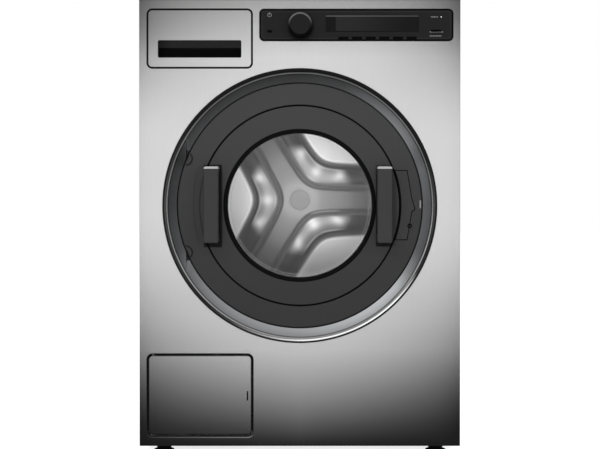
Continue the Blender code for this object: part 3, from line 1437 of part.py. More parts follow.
def make_inlet_valve(plastic):
    """Two hose stubs that pass through the rear panel, on one body."""
    back = DEPTH - SHEET - GAP
    low = (INLET_X - INLET_HALF_X, y_at(back - INLET_BODY_LENGTH), REAR_FITTING_Z - INLET_HALF_Z)
    high = (INLET_X + INLET_HALF_X, y_at(back), REAR_FITTING_Z + INLET_HALF_Z)
    valve = box("inlet_valve", low, high)
    end = DEPTH + SPIGOT_PROUD
    for x in INLET_XS:
        place = (x, REAR_FITTING_Z)
        stub = axis_cylinder(f"stub_{x:.3f}", INLET_R, back - INLET_R, end, place)
        bore = axis_cylinder(f"stub_bore_{x:.3f}", INLET_BORE_R, back - INLET_BORE_R, end + OVERRUN, place)
        join(valve, stub)
        cut(valve, bore)
    return finish(valve, plastic)


def hang(name, pivot, pieces):
    """Hangs pieces on an empty at their joint's place, without moving them."""
    empty = bpy.data.objects.new(name, None)
    empty.location = pivot
    parts.objects.link(empty)
    for piece in pieces:
        piece.parent = empty
        piece.matrix_parent_inverse = Matrix.Translation(-Vector(pivot))
    return empty


# Places that follow from the sizes above
DRAWER_SEAM = (DRAWER_LEFT, DRAWER_RIGHT, DRAWER_LOW, DRAWER_HIGH)
RECESS_EDGES = (RECESS_LEFT, RECESS_RIGHT, RECESS_LOW, RECESS_HIGH)
FASCIA_EDGES = (FASCIA_LEFT, FASCIA_RIGHT, FASCIA_LOW, FASCIA_HIGH)
DISPLAY_EDGES = (DISPLAY_LEFT, DISPLAY_RIGHT, DISPLAY_LOW, DISPLAY_HIGH)
FLAP_EDGES = shrink((FLAP_LEFT, FLAP_RIGHT, FLAP_LOW, FLAP_HIGH), -SEAM_HALF)
FLAP_AXIS_X = FLAP_LEFT + FLAP_HINGE_INSET
HOUSING_SIDES = (DRAWER_LEFT - HOUSING_MARGIN, DRAWER_RIGHT + HOUSING_MARGIN)
HOUSING_EDGES = (*HOUSING_SIDES, HOUSING_LOW, DRAWER_HIGH + HOUSING_MARGIN)
HOUSING_INSIDE = shrink(HOUSING_EDGES, HOUSING_WALL)
EAR_ROOT_X = TUB_R * math.cos(math.asin((SPRING_BOTTOM - DOOR_Z) / TUB_R)) - TUB_WALL / 2
INLET_XS = (INLET_X - INLET_PITCH / 2, INLET_X + INLET_PITCH / 2)
FEET = [
    ("front_left", -FOOT_X, FOOT_FRONT_DEPTH),
    ("front_right", FOOT_X, FOOT_FRONT_DEPTH),
    ("rear_left", -FOOT_X, FOOT_REAR_DEPTH),
    ("rear_right", FOOT_X, FOOT_REAR_DEPTH),
]
BUTTONS = [
    (f"option_button_{i + 1}", BUTTON_FIRST_X + BUTTON_PITCH * i, BUTTON_Z, BUTTON_WIDTH, BUTTON_HEIGHT)
    for i in range(BUTTON_COUNT)
]
BUTTONS += [
    ("power_button", POWER_X, POWER_Z, POWER_WIDTH, POWER_HEIGHT),
    ("start_button", START_X, START_Z, START_WIDTH, START_HEIGHT),
]


def main():
    clear_scene()
    steel = make_material("brushed_steel", (0.62, 0.62, 0.63), 0.38, 1.0)
    bright = make_material("bright_steel", (0.72, 0.72, 0.74), 0.22, 1.0)
    zinc = make_material("zinc_sheet", (0.55, 0.57, 0.58), 0.45, 1.0)
    trim = make_material("dark_trim", (0.10, 0.105, 0.115), 0.35, 0.7)
    dark = make_material("dark_plastic", (0.055, 0.056, 0.058), 0.45)
    black = make_material("black_plastic", (0.012, 0.012, 0.013), 0.30)
    rubber = make_material("rubber", (0.02, 0.02, 0.021), 0.7)
    grey_rubber = make_material("grey_rubber", (0.28, 0.28, 0.29), 0.7)
    glass = make_material("door_glass", (0.85, 0.90, 0.92), 0.05, alpha=0.35)
    display_glass = make_material("display_glass", (0.01, 0.01, 0.012), 0.08)
    white = make_material("white_plastic", (0.78, 0.79, 0.80), 0.5)
    tub_grey = make_material("tub_plastic", (0.45, 0.46, 0.47), 0.6)
    concrete = make_material("concrete", (0.42, 0.41, 0.39), 0.9)
    aluminium = make_material("cast_aluminium", (0.66, 0.66, 0.67), 0.45, 1.0)

    make_front_panel(steel)
    make_side_panel("left_side_panel", -1, steel)
    make_side_panel("right_side_panel", 1, steel)
    make_rear_panel(zinc)
    make_top_plate(steel)
    make_base_tray(zinc)
    make_door_surround(trim)
    make_door_lock(black)
    make_door_hinge(bright)
    make_door_seal(grey_rubber)
    make_drawer_housing(white)
    make_control_fascia(black)
    make_display(display_glass)
    make_drain_pump(tub_grey)
    make_inlet_valve(white)
    for name, x, depth in FEET:
        hang(f"foot_axis_{name}", (x, y_at(depth), BASE_Z), [make_foot(name, x, depth, rubber)])

    door = [make_door_frame(dark), make_inner_ring(dark), make_glass_gasket(rubber), make_door_glass(glass)]
    door += [make_handle("handle_left", BAR_LEFT_X, dark), make_handle("handle_right", BAR_RIGHT_X, dark)]
    door += [make_latch_plate(dark), make_latch_hook(bright)]
    hang("door_axis", (HINGE_X, y_at(HINGE_DEPTH), DOOR_Z), door)

    drawer = [make_drawer_front(steel), make_drawer_grip(black), make_drawer_tray(white)]
    hang("drawer_axis", ((DRAWER_LEFT + DRAWER_RIGHT) / 2, y_at(0.0), HOUSING_LOW), drawer)

    tub = [make_tub_front(tub_grey), make_tub_shell(tub_grey), make_counterweight(concrete)]
    tub += [make_bearing(bright), make_motor(zinc), make_drive_belt(rubber)]
    for side, sign in (("left", -1), ("right", 1)):
        piston = make_damper(side, sign, tub_grey, bright)[1]
        tub += [piston, make_spring(side, sign, bright)]
    drum = [make_drum(bright), make_drum_shaft(bright), make_drum_pulley(aluminium)]
    drum += [make_lifter(index, white) for index in range(1, LIFTER_COUNT + 1)]
    tub.append(hang("drum_axis", (0.0, y_at(DRUM_BACK), DOOR_Z), drum))
    tub.append(hang("motor_axis", (MOTOR_X, y_at(PULLEY_FRONT), MOTOR_Z), [make_motor_pulley(aluminium)]))
    hang("tub_axis", (0.0, y_at(DRUM_BACK), DOOR_Z), tub)

    hang("knob_axis", (KNOB_X, y_at(0.0), KNOB_Z), [make_knob(black)])
    for name, x, z, width, height in BUTTONS:
        hang(f"axis_{name}", (x, y_at(0.0), z), [make_button(name, x, z, width, height, black)])
    hang("flap_axis", (FLAP_AXIS_X, y_at(FLAP_HINGE_DEPTH), FLAP_LOW), [make_service_flap(steel)])
    hang("filter_axis", (FILTER_X, y_at(FILTER_FACE), FILTER_Z), [make_filter_cap(tub_grey)])


main()
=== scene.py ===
"""A front-loading washing machine: finer pieces, finishes, floor, light and camera for its frame."""

import math

import bmesh
import bpy
import numpy as np
from mathutils import Matrix, Vector


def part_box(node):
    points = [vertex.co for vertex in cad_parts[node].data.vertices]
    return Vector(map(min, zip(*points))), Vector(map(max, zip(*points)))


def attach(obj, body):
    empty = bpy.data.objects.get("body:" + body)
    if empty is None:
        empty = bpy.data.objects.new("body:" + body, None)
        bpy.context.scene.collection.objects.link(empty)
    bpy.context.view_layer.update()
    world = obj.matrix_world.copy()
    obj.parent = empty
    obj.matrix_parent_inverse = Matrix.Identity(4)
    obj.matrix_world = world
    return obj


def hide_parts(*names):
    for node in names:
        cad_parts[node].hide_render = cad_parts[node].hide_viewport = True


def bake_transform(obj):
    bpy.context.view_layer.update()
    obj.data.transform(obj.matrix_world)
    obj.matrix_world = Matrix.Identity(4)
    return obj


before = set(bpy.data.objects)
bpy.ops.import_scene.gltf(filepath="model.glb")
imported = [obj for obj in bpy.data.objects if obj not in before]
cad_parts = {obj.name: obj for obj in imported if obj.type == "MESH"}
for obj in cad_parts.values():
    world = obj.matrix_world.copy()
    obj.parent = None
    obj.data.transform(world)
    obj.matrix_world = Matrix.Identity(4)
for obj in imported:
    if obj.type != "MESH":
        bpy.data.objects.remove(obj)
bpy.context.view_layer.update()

bl_info = {
    "name": "Washing Machine",
    "version": (1, 0, 0),
    "blender": (4, 5, 0),
    "location": "3D Viewport > Sidebar > Washer",
    "description": "Dresses a front-loading washing machine, piece by piece",
    "category": "Add Mesh",
}

# Places on the front are (x, z), rectangles are (left, right, low, high) and depths start at FRONT_Y

FRONT_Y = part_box("front_panel")[0].y
HEIGHT, HALF_WIDTH = 0.85, 0.2975
DOOR_Z = (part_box("door_glass")[0].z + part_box("door_glass")[1].z) / 2
DOOR = (0.0, DOOR_Z)
FACE = 0.012
HINGE_X, HINGE_DEPTH = -0.206, 0.0145
KNOB, KNOB_FLAT, KNOB_RADIUS = (0.0006, 0.8004), 0.0184, 0.0225
FASCIA, FASCIA_CORNER = (-0.0746, 0.2839, 0.7705, 0.8299), 0.0080
BACK, COVER = 0.5848, 0.5864
AROUND = 192


def linear(level):
    """A display level from 0 to 255 as a linear share of white."""
    share = level / 255
    return share / 12.92 if share <= 0.04045 else ((share + 0.055) / 1.055) ** 2.4


def grey(level, warmth=0.0):
    """A grey of that display level. A negative warmth is bluish."""
    value = linear(level)
    return (value * (1 + warmth), value, value * (1 - warmth), 1.0)


# Shader building


class Varying:
    """A number that changes over a surface. Arithmetic on it adds Math nodes."""

    def __init__(self, paint, socket):
        self.paint = paint
        self.socket = socket

    def math(self, operation, *values, clamp=False):
        settings = {"operation": operation, "use_clamp": clamp}
        return Varying(self.paint, self.paint.made("ShaderNodeMath", settings, dict(enumerate(values))))

    def __add__(self, other):
        return self.math("ADD", self, other)

    __radd__ = __add__

    def __sub__(self, other):
        return self.math("SUBTRACT", self, other)

    def __rsub__(self, other):
        return self.math("SUBTRACT", other, self)

    def __mul__(self, other):
        return self.math("MULTIPLY", self, other)

    __rmul__ = __mul__

    def __truediv__(self, other):
        return self.math("DIVIDE", self, other)

    def __pow__(self, power):
        return self.math("POWER", self, power)

    def size(self):
        return self.math("ABSOLUTE", self)

    def below(self, limit):
        return self.math("LESS_THAN", self, limit)

    def between(self, low, high):
        """0 at low, 1 at high, and held there beyond them."""
        settings = {"clamp": True, "interpolation_type": "SMOOTHSTEP"}
        inputs = {"Value": self, "From Min": low, "From Max": high}
        return Varying(self.paint, self.paint.made("ShaderNodeMapRange", settings, inputs))

    def band(self, low, full, end, gone):
        """1 from full to end, and 0 below low and beyond gone."""
        return self.between(low, full) * (1.0 - self.between(end, gone))


class Nodes:
    """A node tree. Materials, the world and the Geometry Nodes trees all add their nodes here."""

    def add(self, kind, settings=None, inputs=None):
        """A node of that type. Its settings go in first, then its sockets' values or links."""
        node = self.tree.nodes.new(kind)
        for name, value in (settings or {}).items():
            if name == "stops":
                self.set_stops(node.color_ramp, value)
            else:
                setattr(node, name, value)
        for name, value in (inputs or {}).items():
            self.feed(node.inputs[name], value)
        return node

    def made(self, kind, settings=None, inputs=None):
        """The first output of such a node."""
        return self.add(kind, settings, inputs).outputs[0]

    def set_stops(self, ramp, stops):
        while len(ramp.elements) < len(stops):
            ramp.elements.new(1.0)
        for element, (position, colour) in zip(ramp.elements, stops):
            element.position = position
            element.color = colour

    def feed(self, socket, value):
        if isinstance(value, Varying):
            value = value.socket
        if isinstance(value, bpy.types.NodeSocket):
            self.tree.links.new(value, socket)
        else:
            socket.default_value = value


class Paint(Nodes):
    """The nodes of one material."""

    def __init__(self, name):
        self.material = bpy.data.materials.new(name)
        self.material.use_nodes = True
        self.tree = self.material.node_tree
        self.tree.nodes.clear()
        self.place = self.add("ShaderNodeTexCoord").outputs["Object"]

    def axis(self, name):
        """The X, Y or Z place on the object, in metres."""
        split = self.add("ShaderNodeSeparateXYZ", inputs={0: self.place})
        return Varying(self, split.outputs[name])

    def radius(self, centre):
        """How far a place is from a front-to-back axis."""
        across, up = self.axis("X") - centre[0], self.axis("Z") - centre[1]
        return (across * across + up * up) ** 0.5

    def round_ramp(self, centre, levels, warmth=0.0):
        """A grey for each direction from an axis, in degrees from the right and downwards."""
        across, down = self.axis("X") - centre[0], centre[1] - self.axis("Z")
        turn = across.math("FRACT", across.math("ARCTAN2", down, across) / (2 * math.pi) + 1.0)
        return self.ramp(turn, [(degrees / 360, grey(level, warmth)) for degrees, level in levels])

    def patch(self, left, right, low, high, soft):
        """1 inside an upright rectangle and 0 outside, with a soft edge."""
        across, up = self.axis("X"), self.axis("Z")
        wide = across.band(left - soft, left + soft, right - soft, right + soft)
        return wide * up.band(low - soft, low + soft, high - soft, high + soft)

    def inside(self, left, right, low, high, corner):
        """How far inside the edge of a rectangle with round corners a place is."""
        across = (self.axis("X") - (left + right) / 2).size() - ((right - left) / 2 - corner)
        up = (self.axis("Z") - (low + high) / 2).size() - ((high - low) / 2 - corner)
        far, near = across.math("MAXIMUM", across, 0.0), up.math("MAXIMUM", up, 0.0)
        flat = across.math("MINIMUM", across.math("MAXIMUM", across, up), 0.0)
        return corner - (far * far + near * near) ** 0.5 - flat

    def attribute(self, name):
        node = self.add("ShaderNodeAttribute", {"attribute_name": name})
        return Varying(self, node.outputs["Fac"])

    def stretched(self, scale):
        return self.made("ShaderNodeMapping", inputs={"Vector": self.place, "Scale": scale})

    def noise(self, scale, detail=3.0, roughness=0.5, stretch=(1.0, 1.0, 1.0)):
        inputs = {"Vector": self.stretched(stretch), "Scale": scale}
        inputs |= {"Detail": detail, "Roughness": roughness}
        return Varying(self, self.made("ShaderNodeTexNoise", inputs=inputs))

    def cells(self, scale):
        inputs = {"Vector": self.place, "Scale": scale}
        return Varying(self, self.add("ShaderNodeTexVoronoi", inputs=inputs).outputs["Distance"])

    def ramp(self, value, stops):
        return self.made("ShaderNodeValToRGB", {"stops": stops}, {0: value})

    def mix(self, first, second, share, blend="MIX"):
        """Colour first turned into colour second by that share."""
        settings = {"data_type": "RGBA", "blend_type": blend}
        return self.add("ShaderNodeMix", settings, {0: share, 6: first, 7: second}).outputs[2]

    def shade(self, colour, factor):
        """A colour with its brightness multiplied by a factor."""
        tint = self.made("ShaderNodeCombineColor", inputs={0: factor, 1: factor, 2: factor})
        return self.mix(colour, tint, 1.0, "MULTIPLY")

    def done(self, colour, roughness, marks=None, depth=0.0, metallic=0.0, gloss=0.5, alpha=1.0):
        """Ends the material in one surface shader. Its marks stand out of the surface by that depth."""
        inputs = {"Base Color": colour, "Roughness": roughness, "Metallic": metallic, "Alpha": alpha}
        inputs["Specular IOR Level"] = gloss
        if marks is not None:
            raised = {"Height": marks, "Distance": depth, "Strength": 1.0}
            inputs["Normal"] = self.made("ShaderNodeBump", inputs=raised)
        surface = self.made("ShaderNodeBsdfPrincipled", inputs=inputs)
        self.add("ShaderNodeOutputMaterial", inputs={0: surface})


FINISHES = {}


def chosen():
    """The colours that the user may change."""
    return bpy.context.scene.washer_colours


def finish(name):
    """The material of that name, made when it is first asked for."""
    if name not in FINISHES:
        paint = Paint(name)
        MAKERS[name](paint)
        FINISHES[name] = paint.material
    return FINISHES[name]


# Display levels of the sheets at heights above the floor: the steel's grey with painted shade that deepens
# towards the floor and painted light that dims towards the top

SHEET_PAINTED_LIGHT = [(0.02, 14), (0.035, 46), (0.06, 77), (0.10, 113), (0.15, 145), (0.20, 170), (0.225, 174)]
SHEET_PAINTED_LIGHT += [(0.25, 178), (0.29, 181), (0.345, 186), (0.40, 190), (0.45, 193), (0.66, 197)]
SHEET_PAINTED_LIGHT += [(0.74, 197), (0.79, 178), (0.85, 151)]


def make_brushed_steel(paint):
    """Fine brushed stainless sheet, with painted light and shade: darker towards the floor and the top, and
    painted shade at the front's corners and side edges.
    """
    grain = paint.noise(900.0, 4.0, 0.6, (1.0, 1.0, 0.02))
    broad = paint.noise(6.0, 2.0)
    height = paint.axis("Z")
    # The steel's grey with painted light and shade by height
    tone = paint.ramp(height / HEIGHT, [(z / HEIGHT, grey(level)) for z, level in SHEET_PAINTED_LIGHT])
    side = paint.axis("X").size() / HALF_WIDTH
    # Painted shade: high darkens the front's upper corners, low its lower sides, and the side**14 term its
    # side edges
    high = side**2.2 * height.between(0.58, HEIGHT) * 0.66
    low = side ** (height * 6.0 + 0.6) * (1.0 - height.between(-0.04, 0.46))
    front = 1.0 - paint.axis("Y").between(FRONT_Y + 0.0005, FRONT_Y + 0.006)
    corner = 1.0 - (high + low + side**14.0 * 0.08) * front
    level = corner * (0.94 + grain * 0.08 + broad * 0.04)
    tone = paint.mix(tuple(chosen().steel), tone, front * 0.8 + 0.2)

    # A painted highlight on the sheet just under the flap's seam

    away = paint.inside(*SEAMS["flap"], SEAM_CORNER)
    line = away.band(-0.0054, -0.0044, -0.0037, -0.0028)
    line = line * (1.0 - height.between(0.036, 0.042)) * front
    tone = paint.mix(tone, grey(188), line * 0.5)
    colour = paint.shade(tone, level)
    paint.done(colour, 0.30 + grain * 0.16 + broad * 0.05, grain, 0.00006, metallic=0.75)


def make_zinc_sheet(paint):
    """Galvanised sheet with its soft crystal pattern."""
    crystal = paint.cells(55.0)
    haze = paint.noise(14.0, 3.0)
    level = 0.80 + crystal * 0.30 + haze * 0.12
    colour = paint.shade(grey(176, -0.02), level)
    paint.done(colour, 0.34 + crystal * 0.25, crystal, 0.00008, metallic=0.7)


def make_bright_steel(paint):
    """Turned or drawn steel, with fine machining marks."""
    marks = paint.noise(420.0, 3.0, 0.6, (1.0, 0.1, 1.0))
    colour = paint.shade(grey(205), 0.86 + marks * 0.2)
    paint.done(colour, 0.20 + marks * 0.18, marks, 0.00004, metallic=0.9)


# Display levels round the door, in degrees from the right and downwards: painted light and shade on each side
# of the lip, cone and band

LIP_PAINTED_LIGHT = [(0, 122), (20, 146), (45, 118), (70, 128), (90, 140), (110, 136), (135, 130), (180, 122)]
LIP_PAINTED_LIGHT += [(225, 80), (270, 88), (290, 82), (315, 90), (340, 98), (360, 122)]
CONE_PAINTED_LIGHT = [(0, 98), (20, 104), (31, 128), (40, 178), (50, 182), (70, 168), (90, 148), (110, 140)]
CONE_PAINTED_LIGHT += [(135, 124), (158, 92), (180, 66), (225, 44), (270, 40), (290, 52), (303, 82), (318, 106)]
CONE_PAINTED_LIGHT += [(340, 112), (360, 98)]
BAND_PAINTED_LIGHT = [(0, 60), (20, 32), (30, 46), (38, 190), (46, 240), (70, 232), (88, 232), (104, 150)]
BAND_PAINTED_LIGHT += [(120, 60), (135, 26), (180, 62), (215, 14), (270, 8), (315, 10), (340, 20), (360, 60)]


def make_lip_steel(paint):
    """The polished lip round the door, with painted light and shade that change round it, and a line of
    painted shade at its outer foot.
    """
    wear = paint.noise(60.0, 3.0)
    # Painted shade in the crease at the lip's outer foot
    foot = paint.radius(DOOR).between(LIP_OUTER - 0.0007, LIP_OUTER - 0.0002)
    colour = paint.shade(paint.round_ramp(DOOR, LIP_PAINTED_LIGHT), (0.94 + wear * 0.12) * (1.0 - foot * 0.7))
    paint.done(colour, 0.16 + wear * 0.12, wear, 0.00003, metallic=0.85)


def make_cone_steel(paint):
    """The satin cone round the door, with painted light and shade: dark but for a painted reflection at the
    lower right, darker outwards, and with painted shade at its foot by the lip.
    """
    grain = paint.noise(500.0, 4.0, 0.6)
    radius = paint.radius(DOOR)
    # Painted shade that darkens the cone outwards, and in the crease at its foot by the lip
    painted_light_gradient = 1.06 - radius.between(0.230, 0.243) * 0.14
    foot = radius.between(LIP_INNER - 0.0016, LIP_INNER - 0.0006)
    level = (0.94 + grain * 0.12) * painted_light_gradient * (1.0 - foot * 0.72)
    colour = paint.shade(paint.round_ramp(DOOR, CONE_PAINTED_LIGHT, -0.03), level)
    paint.done(colour, 0.30 + grain * 0.14, grain, 0.00003, metallic=0.55)


def make_band_trim(paint):
    """The outer band: black, with a painted reflection bright at the lower right, painted shade at its inner
    foot by the lip, and a dark rim.
    """
    wear = paint.noise(80.0, 3.0)
    radius = paint.radius(DOOR)
    rim = radius.between(0.2505, 0.2514)
    # Painted shade in the crease at the band's inner foot by the lip
    foot = 1.0 - radius.between(LIP_OUTER + 0.0001, LIP_OUTER + 0.0008)
    colour = paint.mix(paint.round_ramp(DOOR, BAND_PAINTED_LIGHT), grey(20), rim)
    colour = paint.shade(colour, (0.94 + wear * 0.12) * (1.0 - foot * 0.6))
    paint.done(colour, 0.28 + wear * 0.12, wear, 0.00002, gloss=0.06)


def make_bar_plastic(paint):
    """The bars' plastic, with a painted highlight on the bevels at their top ends."""
    grain = paint.noise(1000.0, 2.0, 0.6)
    broad = paint.noise(9.0, 3.0)
    # A painted highlight on the bevels at the bars' top ends
    painted_top_highlight = paint.axis("Z").between(BAR_HIGH - 0.0046, BAR_HIGH - 0.0040)
    colour = paint.shade(tuple(chosen().bars), 0.9 + broad * 0.1 + grain * 0.1)
    colour = paint.mix(colour, grey(168), painted_top_highlight * (0.75 + broad * 0.3))
    paint.done(colour, 0.42 + grain * 0.10, grain, 0.00004, gloss=0.08)


def make_knob_plastic(paint):
    """The knob's black plastic, with a painted highlight on the upper part of its chamfer and painted shadow
    on the outer part of its lower half.
    """
    grain = paint.noise(1200.0, 2.0, 0.6)
    radius, up = paint.radius(KNOB), paint.axis("Z") - KNOB[1]
    # A painted highlight on the chamfer, kept to its upper part
    edge = radius.band(KNOB_FLAT + 0.0002, KNOB_FLAT + 0.0010, KNOB_RADIUS - 0.0009, KNOB_RADIUS - 0.0002)
    edge = edge * up.between(-0.002, 0.016)
    # Painted shadow on the outer part of the knob's lower half
    dark = radius.between(KNOB_FLAT - 0.0012, KNOB_FLAT + 0.0006) * (1.0 - up.between(-0.010, 0.003))
    colour = paint.mix(grey(27), grey(92), edge * (0.8 + grain * 0.2))
    paint.done(paint.shade(colour, 1.0 - dark * 0.94), 0.36 + grain * 0.10, grain, 0.00002, gloss=0.03)


def make_fascia_plastic(paint):
    """The fascia's satin black, with a black rim, a faint line inside it and shade under the knob."""
    grain = paint.noise(1400.0, 2.0, 0.6)
    broad = paint.noise(9.0, 3.0)
    depth = paint.inside(*FASCIA, FASCIA_CORNER)
    rim = 1.0 - depth.between(0.0022, 0.0036)
    line = depth.band(0.0036, 0.0046, 0.0050, 0.0064)
    shade = 1.0 - paint.radius((KNOB[0] + 0.001, KNOB[1] - 0.008)).between(0.014, 0.0275)
    colour = paint.mix(grey(29), grey(40), line * 0.8)
    level = (0.9 + broad * 0.1 + grain * 0.1) * (1.0 - rim * 0.94) * (1.0 - shade * 0.94)
    paint.done(paint.shade(colour, level), 0.34 + grain * 0.08, grain, 0.00001, gloss=0.03)


def make_grip_plastic(paint):
    """The black pocket of the drawer's grip, with painted shade in its lower half and painted light on its
    upper half, more to the right.
    """
    grain = paint.noise(900.0, 2.0, 0.6)
    # Painted light on the pocket's upper half, stronger to the right, and painted shade below it
    right = paint.axis("X").between(-0.262, -0.235)
    upper = paint.axis("Z").between(0.7545, 0.7575) * (0.35 + right * 0.65)
    colour = paint.shade(paint.mix(grey(4), grey(27), upper), 0.9 + grain * 0.2)
    paint.done(colour, 0.5 + grain * 0.1, grain, 0.00004, gloss=0.05)


def make_drum_steel(paint):
    """Stainless drum sheet. The attribute tone holds painted light and shade: the pressed shapes' glints,
    bright pads and dark channels.
    """
    grain = paint.noise(700.0, 3.0, 0.6)
    streak = paint.noise(26.0, 2.0, 0.5, (1.0, 0.15, 1.0))
    level = paint.attribute("tone") * (0.92 + grain * 0.08 + streak * 0.06)
    colour = paint.shade(tuple(chosen().drum), level)
    paint.done(colour, 0.24 + grain * 0.14, grain, 0.00003, metallic=0.5)


def plastic_maker(level, roughness, scale=900.0, depth=0.00005, gloss=0.3, warmth=0.0, spread=0.10):
    """A moulded plastic: a fine spark-eroded grain, with slow changes of tone and sheen."""

    def make(paint):
        grain = paint.noise(scale, 2.0, 0.6)
        broad = paint.noise(9.0, 3.0)
        colour = paint.shade(grey(level, warmth), 1.0 - spread + broad * spread + grain * spread)
        paint.done(colour, roughness - 0.04 + grain * 0.10 + broad * 0.04, grain, depth, gloss=gloss)

    return make


def make_door_plastic(paint):
    """The door's charcoal plastic, with painted light that makes it lighter towards its top, painted shade in
    the groove round the inner ring and painted shadows of the bars.
    """
    grain = paint.noise(1100.0, 2.0, 0.6)
    broad = paint.noise(7.0, 3.0)
    # Painted light, lighter towards the top
    painted_light_gradient = paint.axis("Z").between(DOOR_Z - 0.22, DOOR_Z + 0.22)
    radius = paint.radius(DOOR)
    # Painted shade in the groove between the frame and the inner ring
    groove = radius.between(RING_RADIUS - 0.0002, RING_RADIUS + 0.0002) * radius.below(GROOVE_RADIUS + 0.0002)
    groove = groove * paint.axis("Y").between(FRONT_Y + FACE + 0.0006, FRONT_Y + FACE + 0.0020)
    # Painted shadows that the bars cast on the frame
    shade = sum(paint.patch(*edges, 0.0012) for edges in BAR_SHADES)
    level = (0.80 + painted_light_gradient * 0.35 + broad * 0.06 + grain * 0.06) * (1.0 - groove * 0.85) * (1.0 - shade * 0.9)
    paint.done(paint.shade(tuple(chosen().door), level), 0.46 + grain * 0.12, grain, 0.00004, gloss=0.08)


def make_door_glass(paint):
    """Clear pressed glass with a faint grey body, and a painted reflection: pale arcs near its rim on its
    lower part.
    """
    edge = Varying(paint, paint.add("ShaderNodeLayerWeight", inputs={"Blend": 0.12}).outputs["Facing"])
    smear = paint.noise(16.0, 4.0, 0.55)
    radius = paint.radius(DOOR)
    # A painted reflection: pale arcs near the rim, on the glass's lower part
    rings = sum(radius.band(*edges) for edges in GLASS_REFLECTION_ARCS)
    rings = rings * (1.0 - paint.axis("Z").between(DOOR_Z - 0.02, DOOR_Z + 0.11)) * (0.7 + smear * 0.5)
    colour = paint.mix(grey(60, -0.03), grey(205), rings)
    paint.done(colour, 0.03 + smear * 0.04, alpha=0.02 + edge * 0.06 + smear * 0.02 + rings * 0.22)


def make_display_glass(paint):
    """A smoked window with a slightly lighter field inside that darkens to the right, and a painted highlight
    along its top edge.
    """
    haze = paint.noise(40.0, 3.0)
    across, up = paint.axis("X"), paint.axis("Z")
    inside = across.band(0.0664, 0.0672, 0.2170, 0.2180) * up.between(0.7890, 0.7897)
    right = across.between(0.068, 0.215)
    # A painted highlight along the window's top edge, weaker to the right
    line = up.between(0.8150, 0.8157) * (1.0 - right * 0.35)
    field = paint.mix(grey(33), grey(14), right * (0.8 + haze * 0.2))
    colour = paint.mix(grey(15), field, inside)
    paint.done(paint.mix(colour, grey(68), line), 0.10 + haze * 0.05, haze, 0.00001, gloss=0.06)


def make_concrete(paint):
    """Cast concrete with pores and stones."""
    stones = paint.cells(90.0)
    dust = paint.noise(220.0, 5.0, 0.7)
    colour = paint.shade(grey(138, 0.02), 0.72 + stones * 0.3 + dust * 0.3)
    paint.done(colour, 0.86 + dust * 0.1, stones * 0.6 + dust, 0.0006)


def make_cast_aluminium(paint):
    """The pulleys' sand-cast metal."""
    cast = paint.noise(320.0, 4.0, 0.7)
    colour = paint.shade(grey(184), 0.82 + cast * 0.25)
    paint.done(colour, 0.40 + cast * 0.2, cast, 0.00012, metallic=0.8)


MAKERS = {
    "brushed_steel": make_brushed_steel,
    "zinc_sheet": make_zinc_sheet,
    "bright_steel": make_bright_steel,
    "lip_steel": make_lip_steel,
    "cone_steel": make_cone_steel,
    "band_trim": make_band_trim,
    "drum_steel": make_drum_steel,
    "door_plastic": make_door_plastic,
    "door_glass": make_door_glass,
    "display_glass": make_display_glass,
    "concrete": make_concrete,
    "cast_aluminium": make_cast_aluminium,
    "bar_plastic": make_bar_plastic,
    "fascia_plastic": make_fascia_plastic,
    "grip_plastic": make_grip_plastic,
    "trim_plastic": plastic_maker(26, 0.45, gloss=0.15),
    "well_plastic": plastic_maker(34, 0.5, gloss=0.2),
    "knob_plastic": make_knob_plastic,
    "key_plastic": plastic_maker(4, 0.42, gloss=0.03),
    "dark_plastic": plastic_maker(40, 0.55),
    "black_plastic": plastic_maker(14, 0.55, gloss=0.12),
    "rubber": plastic_maker(9, 0.68, 500.0, 0.00010, 0.04),
    "grey_rubber": plastic_maker(92, 0.60, 500.0, 0.00008, 0.25),
    "white_plastic": plastic_maker(214, 0.42, 700.0, 0.00004, 0.4, 0.01, 0.06),
    "tub_plastic": plastic_maker(150, 0.55, 500.0, 0.00008, 0.3, -0.01, 0.08),
    "pale_mark": plastic_maker(128, 0.6, spread=0.05),
    "bright_mark": plastic_maker(225, 0.5, spread=0.04),
}


# Mesh building


def make_object(name, points, faces):
    """A mesh object in the scene."""
    mesh = bpy.data.meshes.new(name)
    mesh.from_pydata([tuple(p) for p in points], [], [tuple(f) for f in faces])
    obj = bpy.data.objects.new(name, mesh)
    bpy.context.scene.collection.objects.link(obj)
    return obj


def smooth(mesh):
    """Smooths all but the sharp edges."""
    mesh.shade_smooth()
    mesh.set_sharp_from_angle(angle=math.radians(32.0))


def tidy_mesh(obj):
    """Merges doubles, turns the faces outwards and smooths all but the sharp edges."""
    mesh = obj.data
    bm = bmesh.new()
    bm.from_mesh(mesh)
    bmesh.ops.remove_doubles(bm, verts=bm.verts, dist=0.000001)
    bmesh.ops.dissolve_degenerate(bm, edges=bm.edges, dist=0.0000005)
    bmesh.ops.recalc_face_normals(bm, faces=bm.faces)
    bm.to_mesh(mesh)
    bm.free()
    smooth(mesh)
    return obj


def fit(obj, body, finish_name, slot, *nodes):
    """Gives a finished mesh its finish and its body, and lets it stand for these frame nodes."""
    obj.data.materials.clear()
    obj.data.materials.append(finish(finish_name))
    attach(obj, body)
    if nodes:
        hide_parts(*nodes)
    return obj


